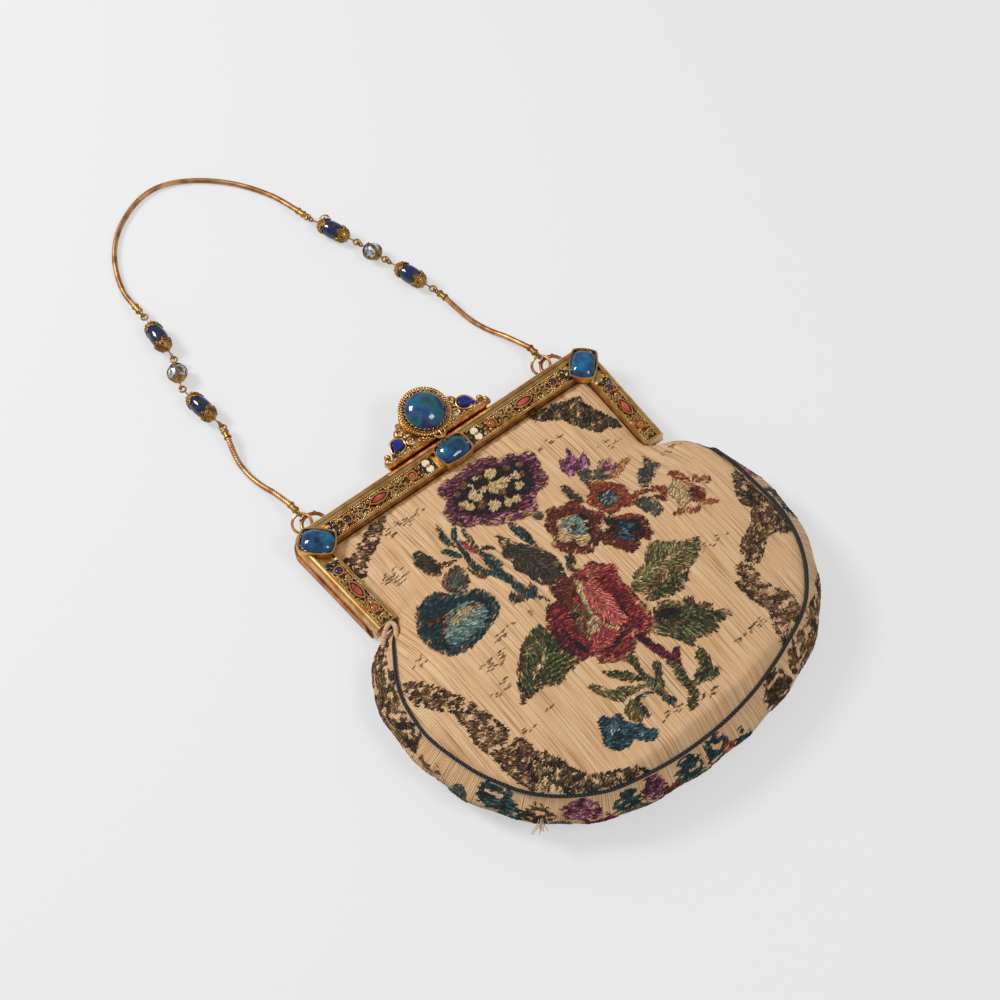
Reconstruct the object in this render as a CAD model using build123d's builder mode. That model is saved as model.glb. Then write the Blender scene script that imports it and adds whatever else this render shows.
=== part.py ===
"""Evening purse: embroidered silk bag on a hinged gilt frame with a jewelled crest and a bead chain.

Millimetres. X runs along the frame's top bar, Y from the bag's bottom to the crest and Z up.
The purse lies on its back: Z = 0 is the resting plane and Y = 0 the line of the two leg hinges.
"""
from build123d import *
from math import asin, atan2, cos, degrees, radians, sin, sqrt, tan
import os

os.makedirs("parts", exist_ok=True)

# Frame sizes
frame_half_at_hinge = 79.5
frame_half_at_top = 82.8
frame_top = 56.5
leg_width = 11.1
bar_width = 14.5
frame_corner_radius = 8.0
inner_corner_radius = 1.0
half_thickness = 6.4
parting_gap = 0.3
sheet = 1.2
front_inset = 0.8
edge_round = 2.4
hinge_radius = 3.6
leg_end = 3.4
pin_radius = 1.1
pin_clearance = 0.15
turning_clearance = 0.35

# Strip channel in the front half
inner_lip = 0.9
leg_moulding = 2.6
bar_moulding = 4.7
channel_depth = 1.6
strip_clearance = 0.1
plate_thickness = 0.7
scroll_height = 0.75
scroll_wire = 0.55

# Stones
stone_length = 15.4
stone_width = 11.8
stone_height = 4.6
stone_side_bulge = 1.0
bezel_wall = 0.6
bezel_height = 1.7
stone_fit = 0.05
small_stone_radius = 1.8
small_stone_height = 1.5
collet_wall = 0.5
collet_height = 0.9
coral_length = 9.0
coral_width = 3.7
coral_height = 1.4
flower_lobe = 1.7
amethyst_x = 56.7
coral_x = 39.9
carnelian_x = 22.0
flower_x = 13.4
amethyst_y = 28.8
coral_y = 16.8
carnelian_y = 5.6

# Crest and its axle
crest_lift = 13.4
crest_plate = 1.8
crest_half = 28.2
crest_front = 55.5
crest_bar = 2.2
crest_ring_y = 67.6
crest_ring_radius = 11.2
crest_seat_radius = 9.3
crest_ring_height = 3.4
crest_stone_radius = 8.9
crest_stone_height = 5.2
crest_girdle = 1.6
drop_x = 18.2
drop_y = 62.0
drop_radius = 3.2
drop_length = 6.6
drop_angle = -38.0
drop_height = 2.6
axle_radius = 0.9
axle_y = 59.3
axle_z = 3.1
crest_knuckle_radius = 2.2
crest_knuckle_half = 11.0
ear_width = 2.4
ear_gap = 0.3

# Lugs, rings and chain
lug_outer = 72.1
lug_inner = 61.2
lug_wire = 0.85
lug_height = 4.0
ring_radius = 4.3
ring_wire = 0.65
ring_tilt = 42.0
ring_turn = -20.0
chain_radius = 1.3
cap_radius = 1.8
cap_length = 4.6
eye_radius = 1.5
eye_wire = 0.45
eye_pin = 0.36
bead_axis = 4.9
oval_length = 17.0
oval_radius = 4.2
round_radius = 4.3
petal_length = 4.4
petal_wall = 0.35
petal_gap = 0.05
petal_notch = 0.95
cap_reach = 0.86
ring_step = 0.3
bead_hole = 0.6
petal_count = 5
oval_pitch = 28.6
round_pitch = 17.2
band_width = 1.1

# Bag
bag_half = 93.0
bag_bottom = 126.0
bag_shoulder = 12.5
bag_neck = 73.0
bag_belly = 55.0
bag_thickness = 30.0
back_seam = 3.6
front_seam = 22.0
gusset_bulge = 7.6
neck_bulge = 0.15
upper_bulge = 0.6
cloth = 1.1
lining_cloth = 0.6
lining_gap = 1.0
mouth_clearance = 0.35
piping_radius = 1.1
piping_out = 1.15
seam_clearance = 0.15

# Worked out from the sizes above
hinge_z = half_thickness + parting_gap / 2
front_back = half_thickness + parting_gap
front_face = front_back + half_thickness
channel_floor = front_face - channel_depth
plate_top = channel_floor + plate_thickness
bar_inner = frame_top - bar_width
leg_lean = (frame_half_at_top - frame_half_at_hinge) / frame_top
lean_angle = degrees(atan2(frame_half_at_top - frame_half_at_hinge, frame_top))
strip_low = bar_inner + inner_lip
lug_centre = frame_top + 2.1
strip_foot = -leg_end + 0.8
strip_high = frame_top - front_inset - bar_moulding
strip_middle = (strip_low + strip_high) / 2


def half_width(y):
    """Half width of the back half's outer edge at height y."""
    return frame_half_at_hinge + leg_lean * y


def outline(side_inset, top_inset, foot, radius):
    """Flat shape of the frame, pulled in at the sides and the top, with rounded top corners."""
    top = frame_top - top_inset
    low = half_width(foot) - side_inset
    high = half_width(top) - side_inset
    with BuildSketch(mode=Mode.PRIVATE) as shape:
        with BuildLine():
            Polyline((-low, foot), (-high, top), (high, top), (low, foot), close=True)
        make_face()
        if radius > 0:
            fillet(shape.vertices().group_by(Axis.Y)[-1], radius)
    return shape.sketch


def leg_centre(y):
    """Middle of the strip in a leg at height y."""
    return half_width(y) - leg_width + inner_lip + leg_strip / 2


leg_strip = leg_width - inner_lip - leg_moulding - front_inset
bar_strip = strip_high - strip_low
knuckle_split = half_width(0) - leg_width / 2


def knuckle(side, low, high, radius):
    """Round end of a leg, across the hinge line between two distances from the middle."""
    with BuildPart(Plane(origin=(side * low, 0, hinge_z), x_dir=(0, 1, 0), z_dir=(side, 0, 0)),
                   mode=Mode.PRIVATE) as barrel:
        Cylinder(radius, high - low, align=(Align.CENTER, Align.CENTER, Align.MIN))
    return barrel.part


def cushion(length, width, bulge):
    """Cushion outline with four bowed sides."""
    a = length / 2 - bulge
    b = width / 2 - bulge
    with BuildSketch(mode=Mode.PRIVATE) as shape:
        with BuildLine():
            ThreePointArc((-a, -b), (0, -b - bulge), (a, -b))
            ThreePointArc((a, -b), (a + bulge, 0), (a, b))
            ThreePointArc((a, b), (0, b + bulge), (-a, b))
            ThreePointArc((-a, b), (-a - bulge, 0), (-a, -b))
        make_face()
        fillet(shape.vertices(), 1.6 * bulge)
    return shape.sketch


def drop(radius, length, grow):
    """Teardrop outline: round end at the origin, point along +X."""
    r = radius + grow
    tip = length + grow * 1.6
    touch = degrees(asin(r / tip))
    x = r * sin(radians(touch))
    y = r * cos(radians(touch))
    with BuildSketch(mode=Mode.PRIVATE) as shape:
        with BuildLine():
            ThreePointArc((x, y), (-r, 0), (x, -y))
            Line((x, -y), (tip, 0))
            Line((tip, 0), (x, y))
        make_face()
    return shape.sketch


def navette(length, width):
    """Pointed oval between two arcs."""
    with BuildSketch(mode=Mode.PRIVATE) as shape:
        with BuildLine():
            ThreePointArc((-length / 2, 0), (0, -width / 2), (length / 2, 0))
            ThreePointArc((length / 2, 0), (0, width / 2), (-length / 2, 0))
        make_face()
    return shape.sketch


def hook(radius, turn, flip):
    """One scroll: a flat wire curling round a small eye."""
    with BuildSketch(mode=Mode.PRIVATE) as shape:
        with BuildLine():
            CenterArc((0, 0), radius, 0, flip * turn)
        trace(line_width=scroll_wire)
        Circle(scroll_wire * 0.9)
    return shape.sketch


def flat_plane(x, y, z, turn=0.0):
    """Level plane at a point, turned about Z."""
    return Plane(origin=(x, y, z), x_dir=(cos(radians(turn)), sin(radians(turn)), 0), z_dir=(0, 0, 1))


def save(piece, name):
    """Label a finished piece and write it to its own file."""
    piece.label = name
    export_step(piece, f"parts/{name}.step")


def side_name(side):
    """Name of a side seen from the front."""
    return "left" if side < 0 else "right"


# Corner and centre stone places, as x, y and turn
stone_places = {
    "corner_stone_left": (-73.4, 45.6, -45.0),
    "centre_stone": (0.0, strip_middle - 0.6, 0.0),
    "corner_stone_right": (73.4, 45.6, 45.0),
}
stone_seat = front_face + 0.1

# Back half of the frame
with BuildPart() as back_frame:
    with BuildSketch(Plane.XY):
        add(outline(0, 0, 0, frame_corner_radius))
        add(outline(leg_width, bar_width, -1, inner_corner_radius), mode=Mode.SUBTRACT)
    extrude(amount=half_thickness)
    rounded = back_frame.edges().group_by(Axis.Z)[0].sort_by(Axis.Y)[-1]
    fillet(rounded, edge_round)
    with BuildSketch(Plane.XY.offset(sheet)):
        add(outline(sheet, sheet, 2 * hinge_radius, frame_corner_radius - sheet))
        add(outline(leg_width - sheet, bar_width - sheet, 2 * hinge_radius - 1, inner_corner_radius),
            mode=Mode.SUBTRACT)
    extrude(amount=half_thickness, mode=Mode.SUBTRACT)
    for side in (-1, 1):
        inner = half_width(0) - leg_width
        outer = half_width(0)
        add(knuckle(side, inner, knuckle_split, hinge_radius))
        add(knuckle(side, knuckle_split, outer + 2, hinge_radius + turning_clearance),
            mode=Mode.SUBTRACT)
        add(knuckle(side, inner - 1, outer + 1, pin_radius), mode=Mode.SUBTRACT)
    # Arched lugs with their feet, soldered to the top edge
    for side in (-1, 1):
        middle = side * (lug_outer + lug_inner) / 2
        spread = (lug_outer - lug_inner) / 2
        foot_y = frame_top - edge_round
        with BuildPart(mode=Mode.PRIVATE) as lug:
            with BuildLine() as arch:
                Line((middle - spread, foot_y, lug_height), (middle - spread, lug_centre, lug_height))
                ThreePointArc((middle - spread, lug_centre, lug_height),
                              (middle, lug_centre + spread, lug_height),
                              (middle + spread, lug_centre, lug_height))
                Line((middle + spread, lug_centre, lug_height), (middle + spread, foot_y, lug_height))
            with BuildSketch(Plane(origin=arch.line @ 0, z_dir=arch.line % 0)):
                Circle(lug_wire)
            sweep(path=arch.line, transition=Transition.ROUND)
            for swing in (55, 90, 125):
                reach = spread + lug_wire
                bead_x = middle + reach * cos(radians(swing))
                bead_y = lug_centre + reach * sin(radians(swing))
                with Locations((bead_x, bead_y, lug_height)):
                    Sphere(lug_wire * 0.75)
        add(lug.part)
    # Two bored ears that carry the crest's axle
    for side in (-1, 1):
        start = side * (crest_knuckle_half + ear_gap + ear_width / 2) - ear_width / 2
        with BuildPart(mode=Mode.PRIVATE) as ear:
            with BuildSketch(Plane(origin=(start, 0, 0), x_dir=(0, 1, 0), z_dir=(1, 0, 0))):
                with Locations((axle_y, axle_z)):
                    Circle(crest_knuckle_radius)
                with Locations(((frame_top + axle_y) / 2 - 1, axle_z)):
                    Rectangle(axle_y - frame_top + 2, 2 * crest_knuckle_radius)
                with Locations((axle_y, axle_z)):
                    Circle(axle_radius, mode=Mode.SUBTRACT)
            extrude(amount=ear_width)
        add(ear.part)
save(back_frame.part, "back_frame")

# Front half of the frame, with the three bezels soldered on
with BuildPart() as front_frame:
    with BuildSketch(Plane.XY.offset(front_back)):
        add(outline(front_inset, front_inset, -leg_end, frame_corner_radius - front_inset))
        add(outline(leg_width, bar_width, -leg_end - 1, inner_corner_radius), mode=Mode.SUBTRACT)
    extrude(amount=half_thickness)
    fillet(front_frame.edges().group_by(Axis.Z)[-1].sort_by(Axis.Y)[-1], edge_round)
    with BuildSketch(Plane.XY.offset(channel_floor)):
        add(outline(front_inset + leg_moulding, front_inset + bar_moulding, strip_foot, 1))
        add(outline(leg_width - inner_lip, bar_width - inner_lip, strip_foot - 1, inner_corner_radius),
            mode=Mode.SUBTRACT)
    extrude(amount=channel_depth + 1, mode=Mode.SUBTRACT)
    with BuildSketch(Plane.XY.offset(front_back)):
        add(outline(front_inset + sheet, front_inset + sheet, 2 * hinge_radius, frame_corner_radius - 2))
        add(outline(leg_width - sheet, bar_width - sheet, 2 * hinge_radius - 1, inner_corner_radius),
            mode=Mode.SUBTRACT)
    extrude(amount=half_thickness - channel_depth - sheet, mode=Mode.SUBTRACT)
    # Two fine grooves along the bar's moulding
    for share in (0.36, 0.68):
        groove_y = strip_high + bar_moulding * share
        with BuildSketch(Plane.XY.offset(front_face - 0.35)):
            with Locations((0, groove_y)):
                Rectangle(2 * half_width(frame_top) - 26, 0.35)
        extrude(amount=1, mode=Mode.SUBTRACT)
    for side in (-1, 1):
        inner = half_width(0) - leg_width
        outer = half_width(0)
        add(knuckle(side, knuckle_split + turning_clearance, outer - front_inset, hinge_radius))
        add(knuckle(side, inner - 2, knuckle_split + turning_clearance / 2,
                    hinge_radius + turning_clearance), mode=Mode.SUBTRACT)
        add(knuckle(side, inner - 1, outer + 1, pin_radius + pin_clearance), mode=Mode.SUBTRACT)
    for x, y, turn in stone_places.values():
        with BuildSketch(flat_plane(x, y, channel_floor - 0.4, turn)):
            add(cushion(stone_length + 2 * bezel_wall, stone_width + 2 * bezel_wall, stone_side_bulge))
        extrude(amount=stone_seat - channel_floor + 0.4 + bezel_height)
        with BuildSketch(flat_plane(x, y, stone_seat, turn)):
            add(cushion(stone_length + 2 * stone_fit, stone_width + 2 * stone_fit, stone_side_bulge))
        extrude(amount=bezel_height + 1, mode=Mode.SUBTRACT)
save(front_frame.part, "front_frame")

# Hinge pins
for side in (-1, 1):
    with BuildPart() as hinge_pin:
        add(knuckle(side, half_width(0) - leg_width + 0.3, half_width(0) - front_inset - 0.3, pin_radius))
    save(hinge_pin.part, f"hinge_pin_{side_name(side)}")

# The three cushion stones
for name, (x, y, turn) in stone_places.items():
    with BuildPart() as stone:
        with BuildSketch(flat_plane(x, y, stone_seat, turn)):
            add(cushion(stone_length, stone_width, stone_side_bulge))
        extrude(amount=stone_height)
        fillet(stone.faces().sort_by(Axis.Z)[-1].edges(), stone_height - bezel_height)
    save(stone.part, name)


def leg_point(side, y):
    """Centre of a leg's strip at height y, with its turn."""
    return (side * leg_centre(y), y, 90.0 - side * lean_angle)


def scrollwork(places):
    """Flat scrolls in mirrored pairs: a list of x, y, turn, radius and sense."""
    with BuildPart(mode=Mode.PRIVATE) as work:
        for x, y, turn, radius, sense in places:
            with BuildSketch(flat_plane(x, y, plate_top, turn)):
                add(hook(radius, 285, sense))
            extrude(amount=scroll_height)
    return work.part


def collet(x, y, turn, kind):
    """Solid seat ring of a small stone, standing on the strip."""
    with BuildPart(mode=Mode.PRIVATE) as seat:
        with BuildSketch(flat_plane(x, y, plate_top, turn)):
            if kind == "coral":
                add(navette(coral_length + 3 * collet_wall, coral_width + 2 * collet_wall))
            else:
                Circle(small_stone_radius + collet_wall)
        extrude(amount=collet_height + scroll_height)
        with BuildSketch(flat_plane(x, y, plate_top + scroll_height / 2, turn)):
            if kind == "coral":
                add(navette(coral_length, coral_width))
            else:
                Circle(small_stone_radius)
        extrude(amount=collet_height + scroll_height, mode=Mode.SUBTRACT)
    return seat.part


def small_stone(x, y, turn, kind):
    """Domed small stone in its collet."""
    base = plate_top + scroll_height / 2
    with BuildPart(mode=Mode.PRIVATE) as stone:
        with BuildSketch(flat_plane(x, y, base, turn)):
            if kind == "coral":
                add(navette(coral_length - 2 * stone_fit, coral_width - 2 * stone_fit))
            else:
                Circle(small_stone_radius - stone_fit)
        if kind == "coral":
            extrude(amount=coral_height, taper=24)
        else:
            extrude(amount=small_stone_height)
            fillet(stone.faces().sort_by(Axis.Z)[-1].edges(), small_stone_height * 0.75)
    return stone.part


bar_stones = {"amethyst": amethyst_x, "coral": coral_x, "carnelian": carnelian_x}
leg_stones = {"amethyst": amethyst_y, "coral": coral_y, "carnelian": carnelian_y}

for side in (-1, 1):
    # Filigree strip along one half of the bar
    bar_scrolls = []
    for x, radius in ((51.6, 1.7), (48.2, 1.9), (32.3, 1.9), (28.6, 1.7)):
        for half in (-1, 1):
            bar_scrolls.append((side * x, strip_middle + half * 1.85, 90 * half, radius, side * half))
    with BuildPart() as filigree_bar:
        end_low = stone_width / 2 + bezel_wall + 3.4
        end_high = half_width(frame_top) - 19.4
        with BuildSketch(Plane.XY.offset(channel_floor)):
            with Locations((side * (end_low + end_high) / 2, strip_middle)):
                Rectangle(end_high - end_low, bar_strip - 2 * strip_clearance)
        extrude(amount=plate_thickness)
        add(scrollwork(bar_scrolls))
        for kind, x in bar_stones.items():
            add(collet(side * x, strip_middle, 0, kind))
    save(filigree_bar.part, f"filigree_bar_{side_name(side)}")

    # Filigree strip along one leg
    leg_scrolls = []
    for y, radius in ((23.9, 1.4), (10.3, 1.2), (0.6, 1.4)):
        for half in (-1, 1):
            x, y0, turn = leg_point(side, y)
            leg_scrolls.append((x + half * 1.68, y0, 90 + 90 * half, radius, half))
    with BuildPart() as filigree_leg:
        low = strip_foot + strip_clearance
        high = 33.4
        reach = leg_strip / 2 - strip_clearance
        with BuildSketch(Plane.XY.offset(channel_floor)):
            with BuildLine():
                Polyline((side * (leg_centre(low) - reach), low), (side * (leg_centre(low) + reach), low),
                         (side * (leg_centre(high) + reach), high),
                         (side * (leg_centre(high) - reach), high), close=True)
            make_face()
        extrude(amount=plate_thickness)
        add(scrollwork(leg_scrolls))
        for kind, y in leg_stones.items():
            x, y0, turn = leg_point(side, y)
            add(collet(x, y0, turn, kind))
    save(filigree_leg.part, f"filigree_leg_{side_name(side)}")

    # Small stones in their collets
    for kind, x in bar_stones.items():
        save(small_stone(side * x, strip_middle, 0, kind), f"{kind}_bar_{side_name(side)}")
    for kind, y in leg_stones.items():
        x, y0, turn = leg_point(side, y)
        save(small_stone(x, y0, turn, kind), f"{kind}_leg_{side_name(side)}")

    # Enamelled flower beside the centre stone: two white lobes on one stem
    with BuildPart() as enamel_flower:
        with BuildSketch(Plane.XY.offset(plate_top)):
            with Locations((side * flower_x, strip_middle)):
                Rectangle(1.6, bar_strip - 2 * strip_clearance - 2)
            with Locations((side * flower_x, strip_middle + flower_lobe),
                           (side * flower_x, strip_middle - flower_lobe)):
                Circle(flower_lobe)
        extrude(amount=scroll_height * 1.2)
    save(enamel_flower.part, f"enamel_flower_{side_name(side)}")

# Crest: openwork plate, base bar, stepped ring and the rail that turns on the axle
crest_top = crest_lift + crest_plate
rail_y = frame_top + 0.9
with BuildPart() as crest:
    with BuildSketch(Plane.XY.offset(crest_lift)):
        with Locations((0, crest_front + crest_bar / 2)):
            Rectangle(2 * crest_half, crest_bar)
        with Locations((0, crest_ring_y)):
            Circle(crest_ring_radius)
        for side in (-1, 1):
            lean = drop_angle if side > 0 else 180 - drop_angle
            with Locations(Location((side * drop_x, drop_y), lean)):
                add(drop(drop_radius, drop_length, 0.7))
            with Locations((side * 12.0, 70.4)):
                Circle(1.3)
            with Locations((side * (crest_half - 1.4), crest_front + 2.0)):
                Circle(1.7)
            with Locations((side * (crest_half - 2.8), crest_front + 4.5)):
                Circle(1.5)
            with Locations((side * 13.9, 66.4)):
                Circle(2.9)
                Circle(1.5, mode=Mode.SUBTRACT)
            with Locations((side * 12.2, 60.4)):
                Circle(3.1)
                Circle(1.6, mode=Mode.SUBTRACT)
    extrude(amount=crest_plate)
    with BuildSketch(Plane.XY.offset(crest_lift)):
        with Locations((0, crest_front + crest_bar / 2)):
            Rectangle(2 * crest_half, crest_bar)
    extrude(amount=crest_plate + 0.6)
    with BuildSketch(Plane.XY.offset(crest_lift)):
        with Locations((0, crest_ring_y)):
            Circle(crest_ring_radius - 0.9)
    extrude(amount=crest_ring_height)
    with BuildSketch(Plane.XY.offset(crest_lift + 0.8)):
        with Locations((0, crest_ring_y)):
            Circle(crest_seat_radius)
    extrude(amount=crest_ring_height, mode=Mode.SUBTRACT)
    # Drop rail from the base bar to the knuckle on the axle
    with BuildSketch(Plane(origin=(-crest_knuckle_half, 0, 0), x_dir=(0, 1, 0), z_dir=(1, 0, 0))):
        with Locations((rail_y + 0.7, (crest_lift + axle_z) / 2 + 0.4)):
            Rectangle(1.4, crest_lift - axle_z + 0.8)
        with Locations((axle_y, axle_z)):
            Circle(crest_knuckle_radius)
        with Locations((axle_y, axle_z)):
            Circle(axle_radius + 0.1, mode=Mode.SUBTRACT)
    extrude(amount=2 * crest_knuckle_half)
    for side in (-1, 1):
        lean = drop_angle if side > 0 else 180 - drop_angle
        with BuildSketch(flat_plane(side * drop_x, drop_y, crest_top - 0.5, lean)):
            add(drop(drop_radius, drop_length, stone_fit))
        extrude(amount=2, mode=Mode.SUBTRACT)
save(crest.part, "crest")

crest_seat = crest_lift + 0.8
dome_radius = (crest_stone_radius ** 2 + crest_stone_height ** 2) / (2 * crest_stone_height)
with BuildPart() as crest_stone:
    with Locations((0, crest_ring_y, crest_seat)):
        Cylinder(crest_stone_radius, crest_girdle + crest_stone_height,
                 align=(Align.CENTER, Align.CENTER, Align.MIN))
    with Locations((0, crest_ring_y, crest_seat + crest_girdle + crest_stone_height - dome_radius)):
        Sphere(dome_radius, mode=Mode.INTERSECT)
save(crest_stone.part, "crest_stone")

for side in (-1, 1):
    lean = drop_angle if side > 0 else 180 - drop_angle
    with BuildPart() as drop_stone:
        with BuildSketch(flat_plane(side * drop_x, drop_y, crest_top - 0.5, lean)):
            add(drop(drop_radius, drop_length, -stone_fit))
        extrude(amount=drop_height, taper=20)
    save(drop_stone.part, f"crest_drop_{side_name(side)}")

with BuildPart(Plane(origin=(-crest_knuckle_half - 2.7, axle_y, axle_z), x_dir=(0, 1, 0),
                     z_dir=(1, 0, 0))) as crest_axle:
    Cylinder(axle_radius, 2 * crest_knuckle_half + 5.4, align=(Align.CENTER, Align.CENTER, Align.MIN))
save(crest_axle.part, "crest_axle")

# Jump rings through the lugs
lug_middle = (lug_outer + lug_inner) / 2
ring_places = {"left": (-lug_middle - 4.0, lug_centre + 3.6), "right": (lug_middle - 4.0, lug_centre + 3.6)}
lean = radians(ring_tilt)
swing = radians(ring_turn)
for name, (x, y) in ring_places.items():
    with BuildPart(Plane(origin=(x, y, lug_height), x_dir=(cos(swing), sin(swing), 0),
                         z_dir=(sin(swing) * sin(lean), -cos(swing) * sin(lean), cos(lean)))) as ring:
        Torus(ring_radius, ring_wire)
    save(ring.part, f"ring_{name}")


def along(start, end, distance):
    """Point at a distance from start on the level line to end."""
    dx = end[0] - start[0]
    dy = end[1] - start[1]
    run = sqrt(dx * dx + dy * dy)
    return (start[0] + dx / run * distance, start[1] + dy / run * distance)


def direction(start, end):
    """Level unit direction from start to end."""
    return (Vector(end[0] - start[0], end[1] - start[1], 0)).normalized()


link_step = eye_radius - 2 * eye_wire + 0.35


def bead_place(start, end):
    """Plane at the middle of a bead, with X along it, between two link points."""
    heading = direction(start, end)
    return Plane(origin=((start[0] + end[0]) / 2, (start[1] + end[1]) / 2, bead_axis), x_dir=heading,
                 z_dir=(0, 0, 1))


def bead_half(length, radius):
    """Upper half of a bead's long section, on the line of its bore."""
    with BuildSketch(mode=Mode.PRIVATE) as shape:
        Ellipse(length / 2, radius)
        with Locations((0, -radius)):
            Rectangle(2 * length, 2 * radius, mode=Mode.SUBTRACT)
    return shape.sketch


def glass_bead(length, radius):
    """Bored glass bead about the origin, its length along X."""
    with BuildPart() as glass:
        with BuildSketch():
            add(bead_half(length, radius))
            Rectangle(2 * length, 2 * bead_hole, mode=Mode.SUBTRACT)
        revolve(axis=Axis.X)
    return glass.part


def bead_mount(length, radius, pitch, banded):
    """Eye pin with a cap at each end of a bead, about the origin, its length along X."""
    grow = petal_gap + petal_wall
    pin = pitch / 2 - link_step - eye_radius + eye_wire / 2
    with BuildPart() as mount:
        with BuildSketch():
            add(bead_half(length + 2 * grow, radius + grow))
            add(bead_half(length + 2 * petal_gap, radius + petal_gap), mode=Mode.SUBTRACT)
            if banded:
                Rectangle(2 * cap_reach * radius, 3 * radius, mode=Mode.SUBTRACT)
            else:
                Rectangle(length - 2 * petal_length, 3 * radius, mode=Mode.SUBTRACT)
            Rectangle(2 * length, eye_wire, mode=Mode.SUBTRACT)
        revolve(axis=Axis.X)
        if banded:
            for plane in (Plane.XY, Plane.XZ):
                with BuildSketch(plane.offset(-band_width / 2)):
                    Circle(radius + grow)
                    Circle(radius + petal_gap, mode=Mode.SUBTRACT)
                extrude(amount=band_width)
        else:
            for end in (-1, 1):
                with BuildSketch(Plane.YZ.offset(end * (length / 2 - petal_length))):
                    with PolarLocations(radius * 0.86, petal_count):
                        Circle(petal_notch)
                extrude(amount=end * petal_length * 0.62, mode=Mode.SUBTRACT)
        with Locations(Plane(origin=(-pin, 0, 0), z_dir=(1, 0, 0)).location):
            Cylinder(eye_pin, 2 * pin, align=(Align.CENTER, Align.CENTER, Align.MIN))
        with Locations(Plane(origin=(link_step - pitch / 2, 0, 0), z_dir=(0, 1, 0)).location):
            Torus(eye_radius, eye_wire)
        with Locations((pitch / 2 - link_step, 0, 0)):
            Torus(eye_radius, eye_wire)
    return mount.part


def chain_cap(upright, step):
    """Domed end cap of a chain, its link point at the origin and its chain along X."""
    foot = step + eye_radius
    with BuildPart() as cap:
        with BuildSketch():
            with BuildLine():
                Polyline((foot - eye_wire, 0), (foot - eye_wire, 0.8), (foot + 0.7, cap_radius),
                         (foot + 1.3, cap_radius), (foot + 1.7, cap_radius - 0.4),
                         (foot + cap_length - 0.9, cap_radius - 0.4), (foot + cap_length - 0.6, cap_radius),
                         (foot + cap_length, cap_radius), (foot + cap_length, 0), close=True)
            make_face()
        revolve(axis=Axis.X)
        across = (0, 1, 0) if upright else (0, 0, 1)
        with Locations(Plane(origin=(step, 0, 0), z_dir=across).location):
            Torus(eye_radius, eye_wire)
    return cap.part


def route_radii(points):
    """Arc radius for each corner of a cord's route, as large as its two runs allow."""
    radii = []
    for before, here, after in zip(points, points[1:], points[2:]):
        first = Vector(*here) - Vector(*before)
        second = Vector(*after) - Vector(*here)
        turn = first.get_angle(second)
        radii.append(0.45 * min(first.length, second.length) / tan(radians(turn / 2)))
    return radii


def round_cord(points, radius, name):
    """Round cord along straight runs joined by tangent arcs."""
    radii = route_radii(points)
    print(name, "radii", [round(r, 1) for r in radii])
    with BuildPart(mode=Mode.PRIVATE) as cord:
        with BuildLine() as route:
            FilletPolyline(*points, radius=radii)
        with BuildSketch(Plane(origin=route.line @ 0, z_dir=route.line % 0)):
            Circle(radius)
        sweep(path=route.line)
    return cord.part


# Link points of the two bead groups and the chains' own routes
def link_points(start, headings):
    """Places where the eyes of neighbouring pieces hook into each other."""
    points = [start]
    for heading, pitch in zip(headings, (oval_pitch, round_pitch, oval_pitch)):
        x, y = points[-1]
        points.append((x + pitch * cos(radians(heading)), y + pitch * sin(radians(heading))))
    return points


left_links = link_points((-69.7, 124.8), (95.7, 68.3, 85.4))
right_links = link_points((29.4, 197.2), (-70.1, -75.5, -75.6))
ring_top = lug_height + ring_radius * sin(radians(ring_tilt))
ring_far = ring_radius * cos(radians(ring_tilt))
ring_ends = {}
for name, (x, y) in ring_places.items():
    ring_ends[name] = (x - ring_far * sin(radians(ring_turn)), y + ring_far * cos(radians(ring_turn)))

beads = {
    "oval": (glass_bead(oval_length, oval_radius), bead_mount(oval_length, oval_radius, oval_pitch, False)),
    "round": (glass_bead(2 * round_radius, round_radius),
              bead_mount(2 * round_radius, round_radius, round_pitch, True)),
}
for name, links in {"left": left_links, "right": right_links}.items():
    order = (("first", "oval"), ("middle", "round"), ("last", "oval"))
    for (place_name, kind), start, end in zip(order, links, links[1:]):
        place = bead_place(start, end).location
        glass, mount = beads[kind]
        save(place * glass, f"bead_{name}_{place_name}")
        save(place * mount, f"bead_mount_{name}_{place_name}")

# End caps of the three chains: link point, a point down the chain, height, upright eye and hooked on a ring
cap_places = {
    "cap_left_ring": (ring_ends["left"], (-70.2, 80.0), ring_top, True, True),
    "cap_left_bead": (left_links[0], (-71.9, 114.0), bead_axis, False, False),
    "cap_long_left": (left_links[3], (-64.0, 210.0), bead_axis, True, False),
    "cap_long_right": (right_links[0], (27.6, 206.0), bead_axis, False, False),
    "cap_right_bead": (right_links[3], (52.2, 116.0), bead_axis, True, False),
    "cap_right_ring": (ring_ends["right"], (63.4, 80.0), ring_top, True, True),
}
cap_ends = {}
for name, (link, toward, z, upright, on_ring) in cap_places.items():
    step = ring_step if on_ring else link_step
    place = Plane(origin=(link[0], link[1], z), x_dir=direction(link, toward), z_dir=(0, 0, 1))
    save(place.location * chain_cap(upright, step), name)
    end = along(link, toward, step + eye_radius + cap_length)
    cap_ends[name] = (end[0], end[1], z)

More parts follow.
